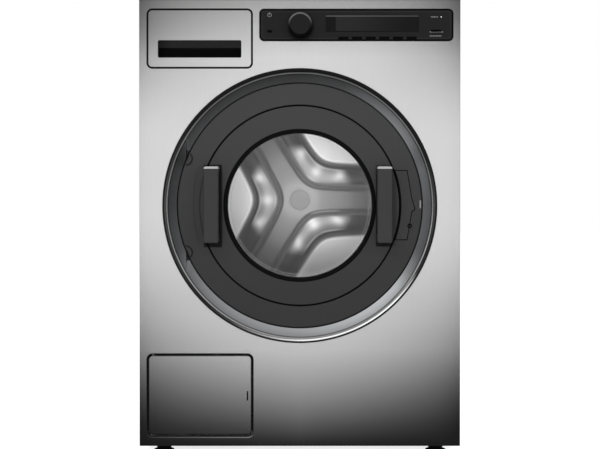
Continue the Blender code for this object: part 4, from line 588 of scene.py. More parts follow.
def eased(points, radius, steps=4, closed=True):
    """An outline with its corners rounded."""
    made = []
    count = len(points)
    for i, point in enumerate(points):
        here = Vector(point)
        if not closed and i in (0, count - 1):
            made.append(tuple(here))
            continue
        back = Vector(points[i - 1]) - here
        ahead = Vector(points[(i + 1) % count]) - here
        reach = min(radius, back.length * 0.45, ahead.length * 0.45)
        start, end = here + back.normalized() * reach, here + ahead.normalized() * reach
        for k in range(steps + 1):
            t = k / steps
            made.append(tuple(start * (1 - t) ** 2 + here * 2 * t * (1 - t) + end * t * t))
    return made


def strips(rows, count, rows_meet=True, ends_meet=True):
    """The faces between neighbouring rows of points. First and last row, and a row's ends, may meet too."""
    faces = []
    for i in range(rows if rows_meet else rows - 1):
        near, far = i * count, (i + 1) % rows * count
        for j in range(count if ends_meet else count - 1):
            k = (j + 1) % count
            faces.append((near + j, near + k, far + k, far + j))
    return faces


def turned(name, profile, centre=DOOR, closed=True, around=AROUND):
    """A shape turned about a front-to-back axis. The profile is (radius, depth)."""
    angles = np.arange(around) * 2 * math.pi / around
    x, z = centre
    points = [(x + r * math.cos(a), FRONT_Y + d, z + r * math.sin(a)) for a in angles for r, d in profile]
    return tidy_mesh(make_object(name, points, strips(around, len(profile), ends_meet=closed)))


def upright(name, profile, place, around=64):
    """A solid turned about a vertical axis. The profile is (radius, height) from axis to axis."""
    angles = np.arange(around) * 2 * math.pi / around
    x, y = place
    points = [(x + r * math.cos(a), y + r * math.sin(a), z) for a in angles for r, z in profile]
    return tidy_mesh(make_object(name, points, strips(around, len(profile), ends_meet=False)))


def section(inner, outer, front, back):
    """The profile of a plain ring, or of a disc where inner is 0."""
    return [(inner, front), (outer, front), (outer, back), (inner, back)]


def lofted(name, rings):
    """A closed solid through rings of points, capped at both ends."""
    count = len(rings[0])
    points = [p for ring in rings for p in ring]
    caps = [tuple(range(count)), tuple(range(len(points) - count, len(points)))]
    return tidy_mesh(make_object(name, points, caps + strips(len(rings), count, rows_meet=False)))


def inset(outline, by):
    """An anticlockwise outline moved inwards."""
    points = np.array(outline)
    ahead = np.roll(points, -1, axis=0) - points
    ahead /= np.linalg.norm(ahead, axis=1, keepdims=True)
    normal = np.stack([-ahead[:, 1], ahead[:, 0]], axis=1)
    before = np.roll(normal, 1, axis=0)
    share = 1 + (normal * before).sum(axis=1, keepdims=True)
    return [tuple(p) for p in points + by * (normal + before) / np.maximum(share, 0.3)]


def rounded_rectangle(left, right, low, high, radius, steps=8):
    """Anticlockwise points of a rectangle with round corners."""
    corners = [(right - radius, high - radius, 0), (left + radius, high - radius, 90)]
    corners += [(left + radius, low + radius, 180), (right - radius, low + radius, 270)]
    made = []
    for x, z, start in corners:
        for k in range(steps + 1):
            angle = math.radians(start + 90 * k / steps)
            made.append((x + radius * math.cos(angle), z + radius * math.sin(angle)))
    return made


def slab(name, outline, front, back, ease=0.0004, steps=3):
    """A flat piece with the edge of its shown face, at depth front, eased. The outline is anticlockwise."""
    rings = []
    inwards = math.copysign(ease, back - front)
    for i in range(steps + 1):
        angle = math.pi / 2 * i / steps
        ring = inset(outline, ease * (1 - math.sin(angle)))
        rings.append([(x, FRONT_Y + front + inwards * (1 - math.cos(angle)), z) for x, z in ring])
    rings.append([(x, FRONT_Y + back, z) for x, z in outline])
    return lofted(name, rings)


def cutter_box(name, low, high):
    """A block between two corners (x, depth, z), used only to cut."""
    sides = [(x, FRONT_Y + d) for d in (low[1], high[1]) for x in (low[0], high[0])]
    points = [(x, y, z) for x, y in sides for z in (low[2], high[2])]
    faces = [(0, 1, 3, 2), (4, 6, 7, 5), (0, 4, 5, 1), (2, 3, 7, 6), (0, 2, 6, 4), (1, 5, 7, 3)]
    return tidy_mesh(make_object(name, points, faces))


def combine(obj, other, operation):
    """Applies a Boolean with another object, which is then removed."""
    modifier = obj.modifiers.new("cut", "BOOLEAN")
    modifier.operation, modifier.object, modifier.solver = operation, other, "EXACT"
    return settle(obj, other)


def flatten(obj):
    """Turns the modifiers' result into the object's plain mesh."""
    graph = bpy.context.evaluated_depsgraph_get()
    mesh = bpy.data.meshes.new_from_object(obj.evaluated_get(graph), depsgraph=graph)
    obj.modifiers.clear()
    obj.data = mesh
    return obj


def settle(obj, *helpers):
    """Applies the modifiers, removes the helpers and tidies the mesh."""
    flatten(obj)
    for helper in helpers:
        bpy.data.objects.remove(helper)
    return tidy_mesh(obj)


def joined(name, *parts):
    """Several meshes as one object."""
    bm = bmesh.new()
    for part in parts:
        bm.from_mesh(part.data)
        bpy.data.objects.remove(part)
    mesh = bpy.data.meshes.new(name)
    bm.to_mesh(mesh)
    bm.free()
    obj = bpy.data.objects.new(name, mesh)
    bpy.context.scene.collection.objects.link(obj)
    smooth(mesh)
    return obj


# Geometry Nodes


class Growth(Nodes):
    """A Geometry Nodes tree that repeats a shape, with named inputs for its sizes."""

    def __init__(self, name):
        self.tree = bpy.data.node_groups.new(name, "GeometryNodeTree")
        self.start = self.tree.nodes.new("NodeGroupInput")
        self.end = self.tree.nodes.new("NodeGroupOutput")
        for way in ("INPUT", "OUTPUT"):
            self.tree.interface.new_socket("Geometry", in_out=way, socket_type="NodeSocketGeometry")

    def taken(self, name, kind, default=None):
        """A named input and the value it has until a piece gives its own."""
        socket = self.tree.interface.new_socket(name, in_out="INPUT", socket_type=f"NodeSocket{kind}")
        if default is not None:
            socket.default_value = default
        return self.start.outputs[name]

    def copies(self, points, shape, rotation=(0.0, 0.0, 0.0)):
        """The shape on every point, as real geometry."""
        inputs = {"Points": points, "Instance": shape, "Rotation": rotation}
        placed = self.made("GeometryNodeInstanceOnPoints", inputs=inputs)
        return self.made("GeometryNodeRealizeInstances", inputs={0: placed})

    def ended(self, geometry):
        """Ends the tree with the finish that the piece gives."""
        finished = self.taken("Finish", "Material")
        painted = self.made("GeometryNodeSetMaterial", inputs={"Geometry": geometry, "Material": finished})
        self.feed(self.end.inputs[0], painted)
        return self.tree


def grow_screws():
    """Flanged hexagon screws on the points of the mesh, facing backwards."""
    growth = Growth("screw_heads")
    radius = growth.taken("Head Radius", "Float", 0.0042)
    height = growth.taken("Head Height", "Float", 0.0024)
    flange = {"Vertices": 20, "Radius Top": radius, "Radius Bottom": radius, "Depth": 0.0007}
    flange = growth.made("GeometryNodeMeshCone", inputs=flange)
    half = growth.made("ShaderNodeMath", {"operation": "MULTIPLY"}, {0: radius, 1: 0.66})
    tip = growth.made("ShaderNodeMath", {"operation": "MULTIPLY"}, {0: radius, 1: 0.60})
    head = {"Vertices": 6, "Radius Top": tip, "Radius Bottom": half, "Depth": height}
    head = growth.made("GeometryNodeMeshCone", inputs=head)
    both = growth.add("GeometryNodeJoinGeometry", inputs={0: flange})
    growth.tree.links.new(head, both.inputs[0])
    turn = (-math.pi / 2, 0.0, 0.0)
    return growth.ended(growth.copies(growth.start.outputs["Geometry"], both.outputs[0], turn))


def grow_rows():
    """Copies of the mesh in a straight row."""
    growth = Growth("row_of_copies")
    count = growth.taken("Count", "Int", 8)
    gap = growth.taken("Step", "Vector", (0.0, 0.0, 0.012))
    line = growth.made("GeometryNodeMeshLine", {"mode": "OFFSET"}, {"Count": count, "Offset": gap})
    return growth.ended(growth.copies(line, growth.start.outputs["Geometry"]))


def grow_holes():
    """Rings of round holes round the drum's axis, seen from inside."""
    growth = Growth("drum_holes")
    around = growth.taken("Holes Around", "Int", 54)
    rows = growth.taken("Rows", "Int", 11)
    gap = growth.taken("Row Step", "Vector", (0.0, 0.026, 0.0))
    radius = growth.taken("Wall Radius", "Float", 0.2378)
    hole_radius = growth.taken("Hole Radius", "Float", 0.0022)
    begin = growth.taken("Start", "Vector", (0.0, 0.0, 0.0))
    line = {"Count": rows, "Start Location": begin, "Offset": gap}
    line = growth.made("GeometryNodeMeshLine", {"mode": "OFFSET"}, line)
    ring = growth.made("GeometryNodeMeshCircle", inputs={"Vertices": around, "Radius": radius})
    turn = (math.pi / 2, 0.0, 0.0)
    ring = growth.made("GeometryNodeTransform", inputs={"Geometry": ring, "Rotation": turn})
    spots = growth.copies(line, ring)
    place = growth.made("GeometryNodeInputPosition")
    out = growth.made("ShaderNodeVectorMath", {"operation": "SUBTRACT"}, {0: begin, 1: place})
    flat = growth.made("ShaderNodeVectorMath", {"operation": "MULTIPLY"}, {0: out, 1: (1.0, 0.0, 1.0)})
    facing = growth.made("FunctionNodeAlignRotationToVector", {"axis": "Z"}, {"Vector": flat})
    hole = {"Vertices": 8, "Radius Top": hole_radius, "Radius Bottom": hole_radius, "Depth": 0.0004}
    hole = growth.made("GeometryNodeMeshCone", inputs=hole)
    return growth.ended(growth.copies(spots, hole, facing))


def grown(obj, tree, values):
    """Runs a tree on an object with these values for its named inputs, and keeps the plain mesh."""
    modifier = obj.modifiers.new("grown", "NODES")
    modifier.node_group = tree
    for item in tree.interface.items_tree:
        if item.in_out == "INPUT" and item.name in values:
            modifier[item.identifier] = values[item.name]
    return settle(obj)


# Stage

CAMERA_DISTANCE, CAMERA_HEIGHT, CAMERA_ANGLE = 3.0, 0.5486, math.radians(89.4)
MIDDLE = (0.0, 0.0, 0.45)

# Each lamp's place, target, size and watts

LAMPS = [
    ("key_lamp", (-1.3, -3.4, 3.2), MIDDLE, (2.2, 1.6), 46.0),
    ("fill_lamp", (1.9, -3.0, 1.6), (0.0, 0.0, 0.40), (1.8, 1.8), 22.0),
    ("door_lamp", (-0.85, -4.3, 1.30), MIDDLE, (0.35, 0.35), 60.0),
    ("drum_lamp", (0.0, FRONT_Y + 0.125, DOOR_Z), (0.0, 1.0, DOOR_Z), (0.16, 0.16), 1.1),
    ("back_lamp", (0.6, 3.2, 2.6), MIDDLE, (2.4, 1.8), 46.0),
]


def make_stage():
    """The camera, tilted down a little and with its frame shifted, and the floor, world and lamps."""
    scene = bpy.context.scene
    scene.view_settings.view_transform = "Standard"
    camera = bpy.data.objects.new("camera", bpy.data.cameras.new("camera"))
    scene.collection.objects.link(camera)
    camera.location = (0.0004, FRONT_Y - CAMERA_DISTANCE, CAMERA_HEIGHT)
    camera.rotation_euler = (CAMERA_ANGLE, 0.0, 0.0)
    camera.data.sensor_width = 36.0
    camera.data.lens = 97.2
    camera.data.shift_y = -0.0776
    camera.data.clip_end = 60.0
    scene.camera = camera
    make_floor()
    make_world()
    for lamp in LAMPS:
        add_lamp(*lamp)


def make_floor():
    """A plain pale floor. The camera sees it as white, apart from the object's shadow."""
    reach = 9.0
    points = [(-reach, -reach, 0.0), (reach, -reach, 0.0), (reach, reach, 0.0), (-reach, reach, 0.0)]
    floor = make_object("floor", points, [(0, 1, 2, 3)])
    paint = Paint("floor_paint")
    base = paint.made("ShaderNodeBsdfDiffuse", inputs={"Color": grey(232)})
    glow = paint.made("ShaderNodeEmission", inputs={"Color": grey(255), "Strength": 0.66})
    lit = paint.made("ShaderNodeAddShader", inputs={0: base, 1: glow})
    shown = paint.made("ShaderNodeMixShader", inputs={0: seen_by_eye(paint), 1: base, 2: lit})
    paint.add("ShaderNodeOutputMaterial", inputs={0: shown})
    floor.data.materials.append(paint.material)


def seen_by_eye(paint):
    """1 for the rays that show a surface to the camera, straight, mirrored or through glass."""
    rays = paint.add("ShaderNodeLightPath").outputs
    names = ("Is Camera Ray", "Is Glossy Ray", "Is Transmission Ray")
    first, second, third = (Varying(paint, rays[name]) for name in names)
    return first.math("ADD", first + second, third, clamp=True)


class WorldPaint(Nodes):
    """The nodes of the world."""

    def __init__(self, world):
        world.use_nodes = True
        self.tree = world.node_tree
        self.tree.nodes.clear()


def make_world():
    """An even white studio, brighter to the eye than as a light."""
    world = bpy.data.worlds.new("studio")
    bpy.context.scene.world = world
    paint = WorldPaint(world)
    strength = seen_by_eye(paint) * 0.45 + 0.55
    background = paint.made("ShaderNodeBackground", inputs={"Color": grey(255), "Strength": strength})
    paint.add("ShaderNodeOutputWorld", inputs={0: background})


def add_lamp(name, place, target, size, watts):
    """A soft rectangular lamp that points at a target."""
    lamp = bpy.data.lights.new(name, "AREA")
    lamp.shape = "RECTANGLE"
    lamp.size, lamp.size_y = size
    lamp.energy = watts
    obj = bpy.data.objects.new(name, lamp)
    bpy.context.scene.collection.objects.link(obj)
    obj.location = place
    obj.rotation_euler = (Vector(target) - Vector(place)).to_track_quat("-Z", "Y").to_euler()
    obj.visible_camera = False
    obj.visible_glossy = False


# Frame nodes that stay as they are, by finish

CABINET_NODES = {
    "brushed_steel": ("front_panel", "left_side_panel", "right_side_panel", "top_plate"),
    "zinc_sheet": ("rear_panel", "base_tray"),
    "black_plastic": ("door_lock",),
    "trim_plastic": ("door_hinge",),
    "dark_plastic": ("damper_tube_left", "damper_tube_right", "drain_pump"),
    "white_plastic": ("inlet_valve",),
}
LATCH_NODES = {"bright_steel": ("latch_hook",)}
CONTROL_NODES = {
    "brushed_steel": ("drawer_front",),
    "grip_plastic": ("drawer_grip",),
    "dark_plastic": ("drawer_tray",),
    "black_plastic": ("drawer_housing",),
    "fascia_plastic": ("control_fascia",),
    "display_glass": ("display_window",),
    "key_plastic": ("power_button", "start_button", *(f"option_button_{i}" for i in range(1, 7))),
}
FOOT_NODES = {"brushed_steel": ("service_flap",), "dark_plastic": ("filter_cap",)}
WORKS_NODES = {
    "tub_plastic": ("tub_front", "tub_shell"),
    "concrete": ("counterweight",),
    "bright_steel": (
        *("drum_bearing", "drum_shaft"),
        *(f"{piece}_{side}" for piece in ("damper_rod", "spring") for side in ("left", "right")),
    ),
    "dark_plastic": ("motor",),
    "rubber": ("drive_belt",),
    "cast_aluminium": ("drum_pulley", "motor_pulley"),
    "white_plastic": tuple(f"lifter_{i}" for i in range(1, 4)),
}


def paint_nodes(table):
    """Gives each finish of a table to its nodes."""
    for name, nodes in table.items():
        for node in nodes:
            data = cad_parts[node].data
            data.materials.clear()
            data.materials.append(finish(name))


# Door surround

LIP_INNER, LIP_OUTER, PROUD, LIP_BACK, CONE_BACK = 0.2440, 0.2477, -0.0018, 0.0058, 0.0122
BAND = section(LIP_OUTER, 0.2546, PROUD, -0.0003)
LIP = [(LIP_INNER, PROUD), (0.2458, -0.0034), (LIP_OUTER, PROUD)]
LIP += [(LIP_OUTER, LIP_BACK), (LIP_INNER, LIP_BACK)]
CONE = [(0.2427, 0.0), (LIP_INNER, PROUD), (LIP_INNER, LIP_BACK)]
CONE += [(0.2335, CONE_BACK), (0.2287, CONE_BACK), (0.2287, 0.0104)]
WELL = [(0.2294, CONE_BACK), (0.2324, 0.0128), (0.2324, 0.0460)]
WELL += [(0.1650, 0.0460), (0.1650, 0.0430), (0.2294, 0.0430)]
DOOR_ROOM, FACE_ROOM = 0.0004, 0.0026


def relief_cutter():
    """The door's edge as it stands when the door is fully open, with a little room round it."""
    disc = section(0.0, FRAME_RADIUS + DOOR_ROOM, FACE - FACE_ROOM, DOOR_BACK + 0.0010)
    cutter = turned("relief", disc, closed=False, around=256)
    axis = Vector((HINGE_X, FRONT_Y + HINGE_DEPTH, 0.0))
    swing = Matrix.Rotation(-math.pi / 2, 4, "Z")
    cutter.data.transform(Matrix.Translation(axis) @ swing @ Matrix.Translation(-axis))
    return cutter


def make_door_surround():
    """The outer band, the lip, the cone down to the door and the well behind it."""
    band = turned("surround_band", eased(BAND, 0.0006, 3))
    lip = turned("surround_lip", eased(LIP, 0.0005, 3))
    cone = combine(turned("surround_cone", CONE), relief_cutter(), "DIFFERENCE")
    well = combine(turned("surround_well", WELL), relief_cutter(), "DIFFERENCE")
    slot = cutter_box("hook_slot", (0.197, 0.038, DOOR_Z - 0.010), (0.213, 0.050, DOOR_Z + 0.010))
    well = combine(well, slot, "DIFFERENCE")
    fit(band, "cabinet", "band_trim", "dark_trim", "door_surround")
    fit(lip, "cabinet", "lip_steel", "bright_steel")
    fit(cone, "cabinet", "cone_steel", "dark_trim")
    fit(well, "cabinet", "well_plastic", "dark_trim")


# Door

FRAME_RADIUS, EDGE_RADIUS, DOOR_BACK = 0.2275, 0.003, 0.0280
GROOVE_RADIUS, RING_RADIUS, RING_INNER, RING_BACK = 0.1877, 0.1846, 0.1423, 0.0240
FRAME = [(FRAME_RADIUS, DOOR_BACK), (0.1340, DOOR_BACK), (0.1340, 0.0243), (GROOVE_RADIUS, 0.0243)]
RING = [(RING_RADIUS, FACE), (RING_RADIUS, RING_BACK), (RING_INNER, RING_BACK), (RING_INNER, FACE)]
GASKET = [(0.1420, 0.0125), (0.1420, 0.0192), (0.1350, 0.0192), (0.1350, 0.0125)]
GLASS = [
    (0.0, 0.105),
    (0.0985, 0.105),
    (0.1258, 0.0195),
    (0.1420, 0.0195),
    (0.1420, 0.0240),
    (0.1300, 0.0240),
    (0.1300, 0.0280),
    (0.1035, 0.110),
    (0.0, 0.110),
]
BAR_MIDDLES = {"left": -0.1630, "right": 0.1563}
BAR_LOW, BAR_HIGH, BAR_HALF = 0.3978, 0.5387, 0.0136

# Where the bars' painted shadows lie on the frame, and where the painted reflection arcs on the glass begin
# and end

BAR_SHADES = [(-0.1785, -0.1448, 0.3880, 0.5415), (0.1415, 0.1715, 0.3895, 0.5400)]
GLASS_REFLECTION_ARCS = [(0.1284, 0.1288, 0.1292, 0.1296), (0.1322, 0.1325, 0.1330, 0.1333)]

# How far above and below the door's middle the hinge's slots, caps and pins lie

SLOT_OFF, CAP_OFF, PIN_ENDS = 0.0885, 0.0875, (0.0765, 0.0925)


def frame_profile():
    """The frame's profile with its outer front corner well rounded and the inner one just eased."""
    curve = []
    for k in range(9):
        angle = math.radians(90 - 90 * k / 8)
        out = FRAME_RADIUS - EDGE_RADIUS + EDGE_RADIUS * math.cos(angle)
        curve.append((out, FACE + EDGE_RADIUS - EDGE_RADIUS * math.sin(angle)))
    return [*curve, *FRAME, (GROOVE_RADIUS, FACE + 0.0004), (GROOVE_RADIUS + 0.0004, FACE)]


def make_door_frame():
    """The ring that carries the door, with its scoop and the slots for the hinge."""
    obj = turned("door_frame_ring", frame_profile())
    obj = combine(obj, scoop_floor(), "UNION")
    half = 0.0045
    for sign in (-1, 1):
        middle = DOOR_Z + sign * SLOT_OFF
        low, high = (-0.30, -0.004, middle - half), (-0.2015, 0.032, middle + half)
        obj = combine(obj, cutter_box(f"hinge_slot_{sign}", low, high), "DIFFERENCE")
    obj = combine(obj, scoop_cutter(), "DIFFERENCE")
    return fit(obj, "door", "door_plastic", "dark_plastic", "door_frame")


def scoop_floor():
    """The web that closes the groove between frame and ring where the finger scoop crosses it."""
    outer, inner = 0.1885, 0.1843
    reach = np.linspace(-0.060, 0.060, 25)
    outline = [(-math.sqrt(outer**2 - t * t), DOOR_Z + t) for t in reach]
    outline += [(-math.sqrt(inner**2 - t * t), DOOR_Z + t) for t in reach[::-1]]
    rings = [[(x, FRONT_Y + d, z) for x, z in outline] for d in (FACE + 0.0006, FACE + 0.005)]
    return lofted("scoop_floor", rings)


def scoop_cutter():
    """The shallow finger scoop beside the left bar."""
    edge, least, bulge = BAR_MIDDLES["left"] - BAR_HALF, 0.007, 0.014
    middle, half = (BAR_LOW + BAR_HIGH) / 2, (BAR_HIGH - BAR_LOW) / 2
    sweep = [math.pi * i / 32 for i in range(33)]
    outline = [(edge - least - bulge * math.sin(a), middle + half * math.cos(a)) for a in sweep]
    outline += [(edge, middle - half), (edge, middle + half)]
    rings = [[(x, FRONT_Y + d, z) for x, z in outline] for d in (FACE - 0.003, FACE + 0.0012)]
    return lofted("scoop", rings)


def make_door_pins():
    """The short steel pins that the door turns on."""
    pins = []
    for sign in (-1, 1):
        low, high = sorted(DOOR_Z + sign * end for end in PIN_ENDS)
        profile = section(0.0, 0.002, low, high)
        pins.append(upright(f"pin_{sign}", profile, (HINGE_X, FRONT_Y + HINGE_DEPTH), 24))
    return fit(joined("door_pins", *pins), "door", "trim_plastic", "bright_steel")


def clipped(cap):
    """What of a hinge cap lies on the door's frame."""
    keep = turned("keep", section(0.0, 0.2250, 0.0, 0.03), closed=False)
    return combine(cap, keep, "INTERSECT")


def make_hinge_caps():
    """The two half-round covers over the door's pins, each with a dark rim."""
    shell = [(0.0, 0.0098), (0.0120, 0.0098), (0.0120, 0.0124)]
    shell += [(0.0112, 0.0124), (0.0112, 0.0103), (0.0, 0.0103)]
    shell = eased(shell, 0.0004, 3, closed=False)
    edge = eased(section(0.0108, 0.0130, 0.0096, 0.0124), 0.0003, 2)
    for word, sign in (("lower", -1), ("upper", 1)):
        centre = (-0.2121, DOOR_Z + sign * CAP_OFF)
        cap = turned(f"hinge_cap_{word}", shell, centre, closed=False, around=64)
        rim = turned(f"hinge_cap_rim_{word}", edge, centre, around=64)
        fit(clipped(cap), "door", "door_plastic", "dark_plastic")
        fit(clipped(rim), "door", "black_plastic", "dark_plastic")


def make_glass_parts():
    """The inner ring, its gasket and the glass bowl."""
    ring = turned("inner_ring", eased(RING, 0.0008, 4))
    gasket = turned("gasket", eased(GASKET, 0.0016, 5))
    glass = turned("glass_bowl", eased(GLASS, 0.004, 6, closed=False), closed=False)
    fit(ring, "door", "door_plastic", "dark_plastic", "door_inner_ring")
    fit(gasket, "door", "rubber", "rubber", "glass_gasket")
    fit(glass, "door", "door_glass", "door_glass", "door_glass")


def make_bar(side):
    """A grip bar that stands on two legs, with all its edges rounded."""
    front, back, foot, leg = -0.030, -0.014, FACE - 0.0003, 0.018
    outline = [(front, BAR_LOW), (foot, BAR_LOW), (foot, BAR_LOW + leg), (back, BAR_LOW + leg)]
    outline += [(back, BAR_HIGH - leg), (foot, BAR_HIGH - leg), (foot, BAR_HIGH), (front, BAR_HIGH)]
    middle = BAR_MIDDLES[side]
    rings = [[(x, FRONT_Y + d, z) for d, z in outline] for x in (middle - BAR_HALF, middle + BAR_HALF)]
    bar = lofted(f"grip_bar_{side}", rings)
    bevel = bar.modifiers.new("round", "BEVEL")
    bevel.width, bevel.segments = 0.0034, 5
    bevel.limit_method, bevel.angle_limit = "ANGLE", math.radians(60)
    settle(bar)
    return fit(bar, "door", "bar_plastic", "black_plastic", f"handle_{side}")


LATCH_LOW, LATCH_HIGH, LATCH_RADIUS = 0.4029, 0.5304, 0.1888


def latch_outline():
    """A bent outer edge, and an inner one that follows the groove round the ring."""
    low, high = ((math.sqrt(LATCH_RADIUS**2 - (z - DOOR_Z) ** 2), z) for z in (LATCH_LOW, LATCH_HIGH))
    sweep = np.radians(np.linspace(-19.5, 20.0, 24))
    arc = [(LATCH_RADIUS * math.cos(a), DOOR_Z + LATCH_RADIUS * math.sin(a)) for a in sweep]
    arc = [low, *((x, z) for x, z in arc if LATCH_LOW < z < LATCH_HIGH), high]
    edge = [(0.1988, LATCH_LOW), (0.2076, 0.4551), (0.2134, 0.4588), (0.2076, 0.4792), (0.1988, LATCH_HIGH)]
    return [*edge, *arc[::-1]]


def make_latch():
    """The latch's cover with a black rim of painted shade for the gap round it, its eye, and the strike on
    the door's edge.
    """
    outline = latch_outline()
    plate = slab("latch_cover", outline, 0.0097, 0.0117, 0.0005)
    fit(plate, "door", "bar_plastic", "black_plastic", "latch_plate")
    # A black rim round the cover: painted shade of the gap round it
    rim = slab("latch_gap_shade", inset(outline, -0.0014), 0.0108, 0.0118, 0.0001, 1)
    fit(rim, "door", "key_plastic", "black_plastic")
    eye = turned("latch_eye", section(0.0043, 0.0024, 0.0093, 0.0100), (0.2042, 0.4280), around=40)
    fit(eye, "door", "key_plastic", "black_plastic")
    outline = rounded_rectangle(0.2228, 0.2254, 0.4606, 0.4754, 0.0006, 3)
    strike = slab("latch_strike", outline, 0.0105, 0.0150, 0.0002)
    fit(strike, "door", "pale_mark", "bright_steel")
    paint_nodes(LATCH_NODES)


# Drawer, fascia, flap and feet

SEAMS = {"drawer": (-0.2819, -0.0885, 0.7211, 0.8290), "flap": (-0.2817, -0.0883, 0.0399, 0.1893)}
SEAM_CORNER = 0.009

# Black strips of painted shade that widen the dark of each seam's gap. Each strip's body, its seam, and how
# far beyond the seam's middle line it begins and ends

SEAM_SHADE_STRIPS = {
    "drawer_opening_shade": ("cabinet", "drawer", 0.0009, 0.0018),
    "drawer_edge_shade": ("drawer", "drawer", -0.0018, -0.0009),
    "flap_opening_shade": ("cabinet", "flap", 0.0009, 0.0027),
    "flap_edge_shade": ("flap", "flap", -0.0027, -0.0014),
}


def make_seam_shade_strip(name, body, seam, inner, outer):
    """A thin black strip round an opening: painted shade that widens the dark of the seam's gap."""
    left, right, low, high = SEAMS[seam]
    front, back = FRONT_Y - 0.0002, FRONT_Y + 0.0012
    loops = []
    for out, y in ((outer, back), (outer, front), (inner, front), (inner, back)):
        around = rounded_rectangle(left - out, right + out, low - out, high + out, SEAM_CORNER + out, 10)
        loops.append([(x, y, z) for x, z in around])
    points = [p for loop in loops for p in loop]
    obj = tidy_mesh(make_object(name, points, strips(len(loops), len(loops[0]))))
    return fit(obj, body, "black_plastic", "brushed_steel")


def make_knob():
    """The knob with its chamfered edge, and its shaft behind the fascia."""
    front, back, shaft, end = -0.018, -0.0013, 0.003, 0.020
    profile = [(0.0, front), (KNOB_FLAT, front), (KNOB_RADIUS, front + 0.00205), (KNOB_RADIUS, back)]
    profile += [(shaft, back), (shaft, end), (0.0, end)]
    knob = turned("knob_turned", eased(profile, 0.0009, 4, closed=False), KNOB, closed=False, around=96)
    return fit(knob, "knob", "knob_plastic", "black_plastic", "program_knob")


# Each row's left end, height and number of dashes

DASH_ROWS = [(0.2425, 0.8150, 5), (0.2405, 0.7872, 9), (0.2405, 0.7798, 8)]
DASH_STEP, DASH_LENGTH, DASH_HALF = 0.0028, 0.0019, 0.0008
MARK_FRONT, MARK_BACK, MARK_EASE = -0.00115, -0.0008, 0.00005


def make_mark(name, left, right, low, high, front=MARK_FRONT):
    """A small printed bar on the fascia."""
    outline = rounded_rectangle(left, right, low, high, 0.0003, 2)
    return slab(name, outline, front, MARK_BACK, MARK_EASE, 1)


def make_fascia_marks():
    """Generic marks: a power sign over its key, and small dashes and a lit dot by the start key."""
    ring = section(0.0031, 0.0038, MARK_FRONT, MARK_BACK)
    signs = [turned("power_sign", ring, (-0.0559, 0.8186), around=40)]
    signs.append(make_mark("power_bar", -0.0563, -0.0555, 0.8186, 0.8232, MARK_FRONT - MARK_EASE))
    for x, z, count in DASH_ROWS:
        for i in range(count):
            left = x + DASH_STEP * i
            signs.append(make_mark("dash", left, left + DASH_LENGTH, z - DASH_HALF, z + DASH_HALF))
    fit(joined("fascia_marks", *signs), "cabinet", "pale_mark", "white_plastic")
    disc = section(0.0, 0.0010, MARK_FRONT, MARK_BACK)
    dot = turned("lit_dot", disc, (0.2615, 0.8150), closed=False, around=24)
    fit(dot, "cabinet", "bright_mark", "white_plastic")


FOOT_X = {"left": -0.2555, "right": 0.2555}
FOOT_DEPTHS = {"front": 0.050, "rear": 0.530}


def make_feet():
    """Four turned feet: pad, neck, nut and stem."""
    shape = [(0.0, 0.0), (0.019, 0.0), (0.019, 0.0064), (0.0135, 0.0080), (0.0135, 0.0147)]
    shape += [(0.0175, 0.0147), (0.0175, 0.0197), (0.0050, 0.0197), (0.0050, 0.0480), (0.0, 0.0480)]
    shape = eased(shape, 0.0008, 3, closed=False)
    for row, depth in FOOT_DEPTHS.items():
        for side, x in FOOT_X.items():
            foot = upright(f"{row}_{side}_foot_turned", shape, (x, FRONT_Y + depth))
            fit(foot, f"{row}_{side}_leg", "rubber", "rubber", f"foot_{row}_{side}")


# Drum

DRUM_LOOP = [
    (0.160, 0.1000),
    (0.215, 0.1000),
    (0.240, 0.1250),
    (0.240, 0.4380),
    (0.238, 0.4380),
    (0.238, 0.1270),
    (0.213, 0.1020),
    (0.160, 0.1020),
]
DRUM_DEPTH = 0.438
BEAD_HEIGHT, PRESS_DEPTH = 0.0024, 0.0015
HOLES_DEPTH = 0.150

# Where a chevron's inner channel, bead, outer channel and pad begin and end, counted out from its spine

SPINE_ROUND = 0.0245
INNER_CHANNEL = (0.0160, 0.0205, 0.0240, 0.0280)
BEAD_LOW, BEAD_RISE, BEAD_HIGH, BEAD_FALL = 0.0250, 0.0048, 0.0615, 0.0035
BEAD_MIDDLE, BEAD_HALF = 0.0450, 0.0185
CHANNEL_END, PAD_START = (0.0700, 0.0757), (0.0702, 0.0768)
GLINTS_ACROSS = (-0.048, 0.0, 0.048)

# The pressed chevrons' directions, how far across each bead its painted glint lies, and their arms' slope

CHEVRON_ANGLES = (60.0, 180.0, 300.0)
GLINT_PLACES = (0.42, 0.30, -0.35)
CHEVRON_SLOPE = math.radians(60)


def step(value, low, high):
    """0 below low, 1 above high, and smooth between."""
    t = np.clip((value - low) / (high - low), 0, 1)
    return t * t * (3 - 2 * t)


def band(value, low, full, end, gone):
    """1 from full to end, 0 below low and beyond gone, and smooth between."""
    return step(value, low, full) * (1 - step(value, end, gone))


def hump(value, middle, width):
    """A smooth rise to 1 at its middle."""
    return np.exp(-(((value - middle) / width) ** 2))


def towards(tone, level, share):
    """A tone moved to a level by that share."""
    return tone * (1 - share) + level * share


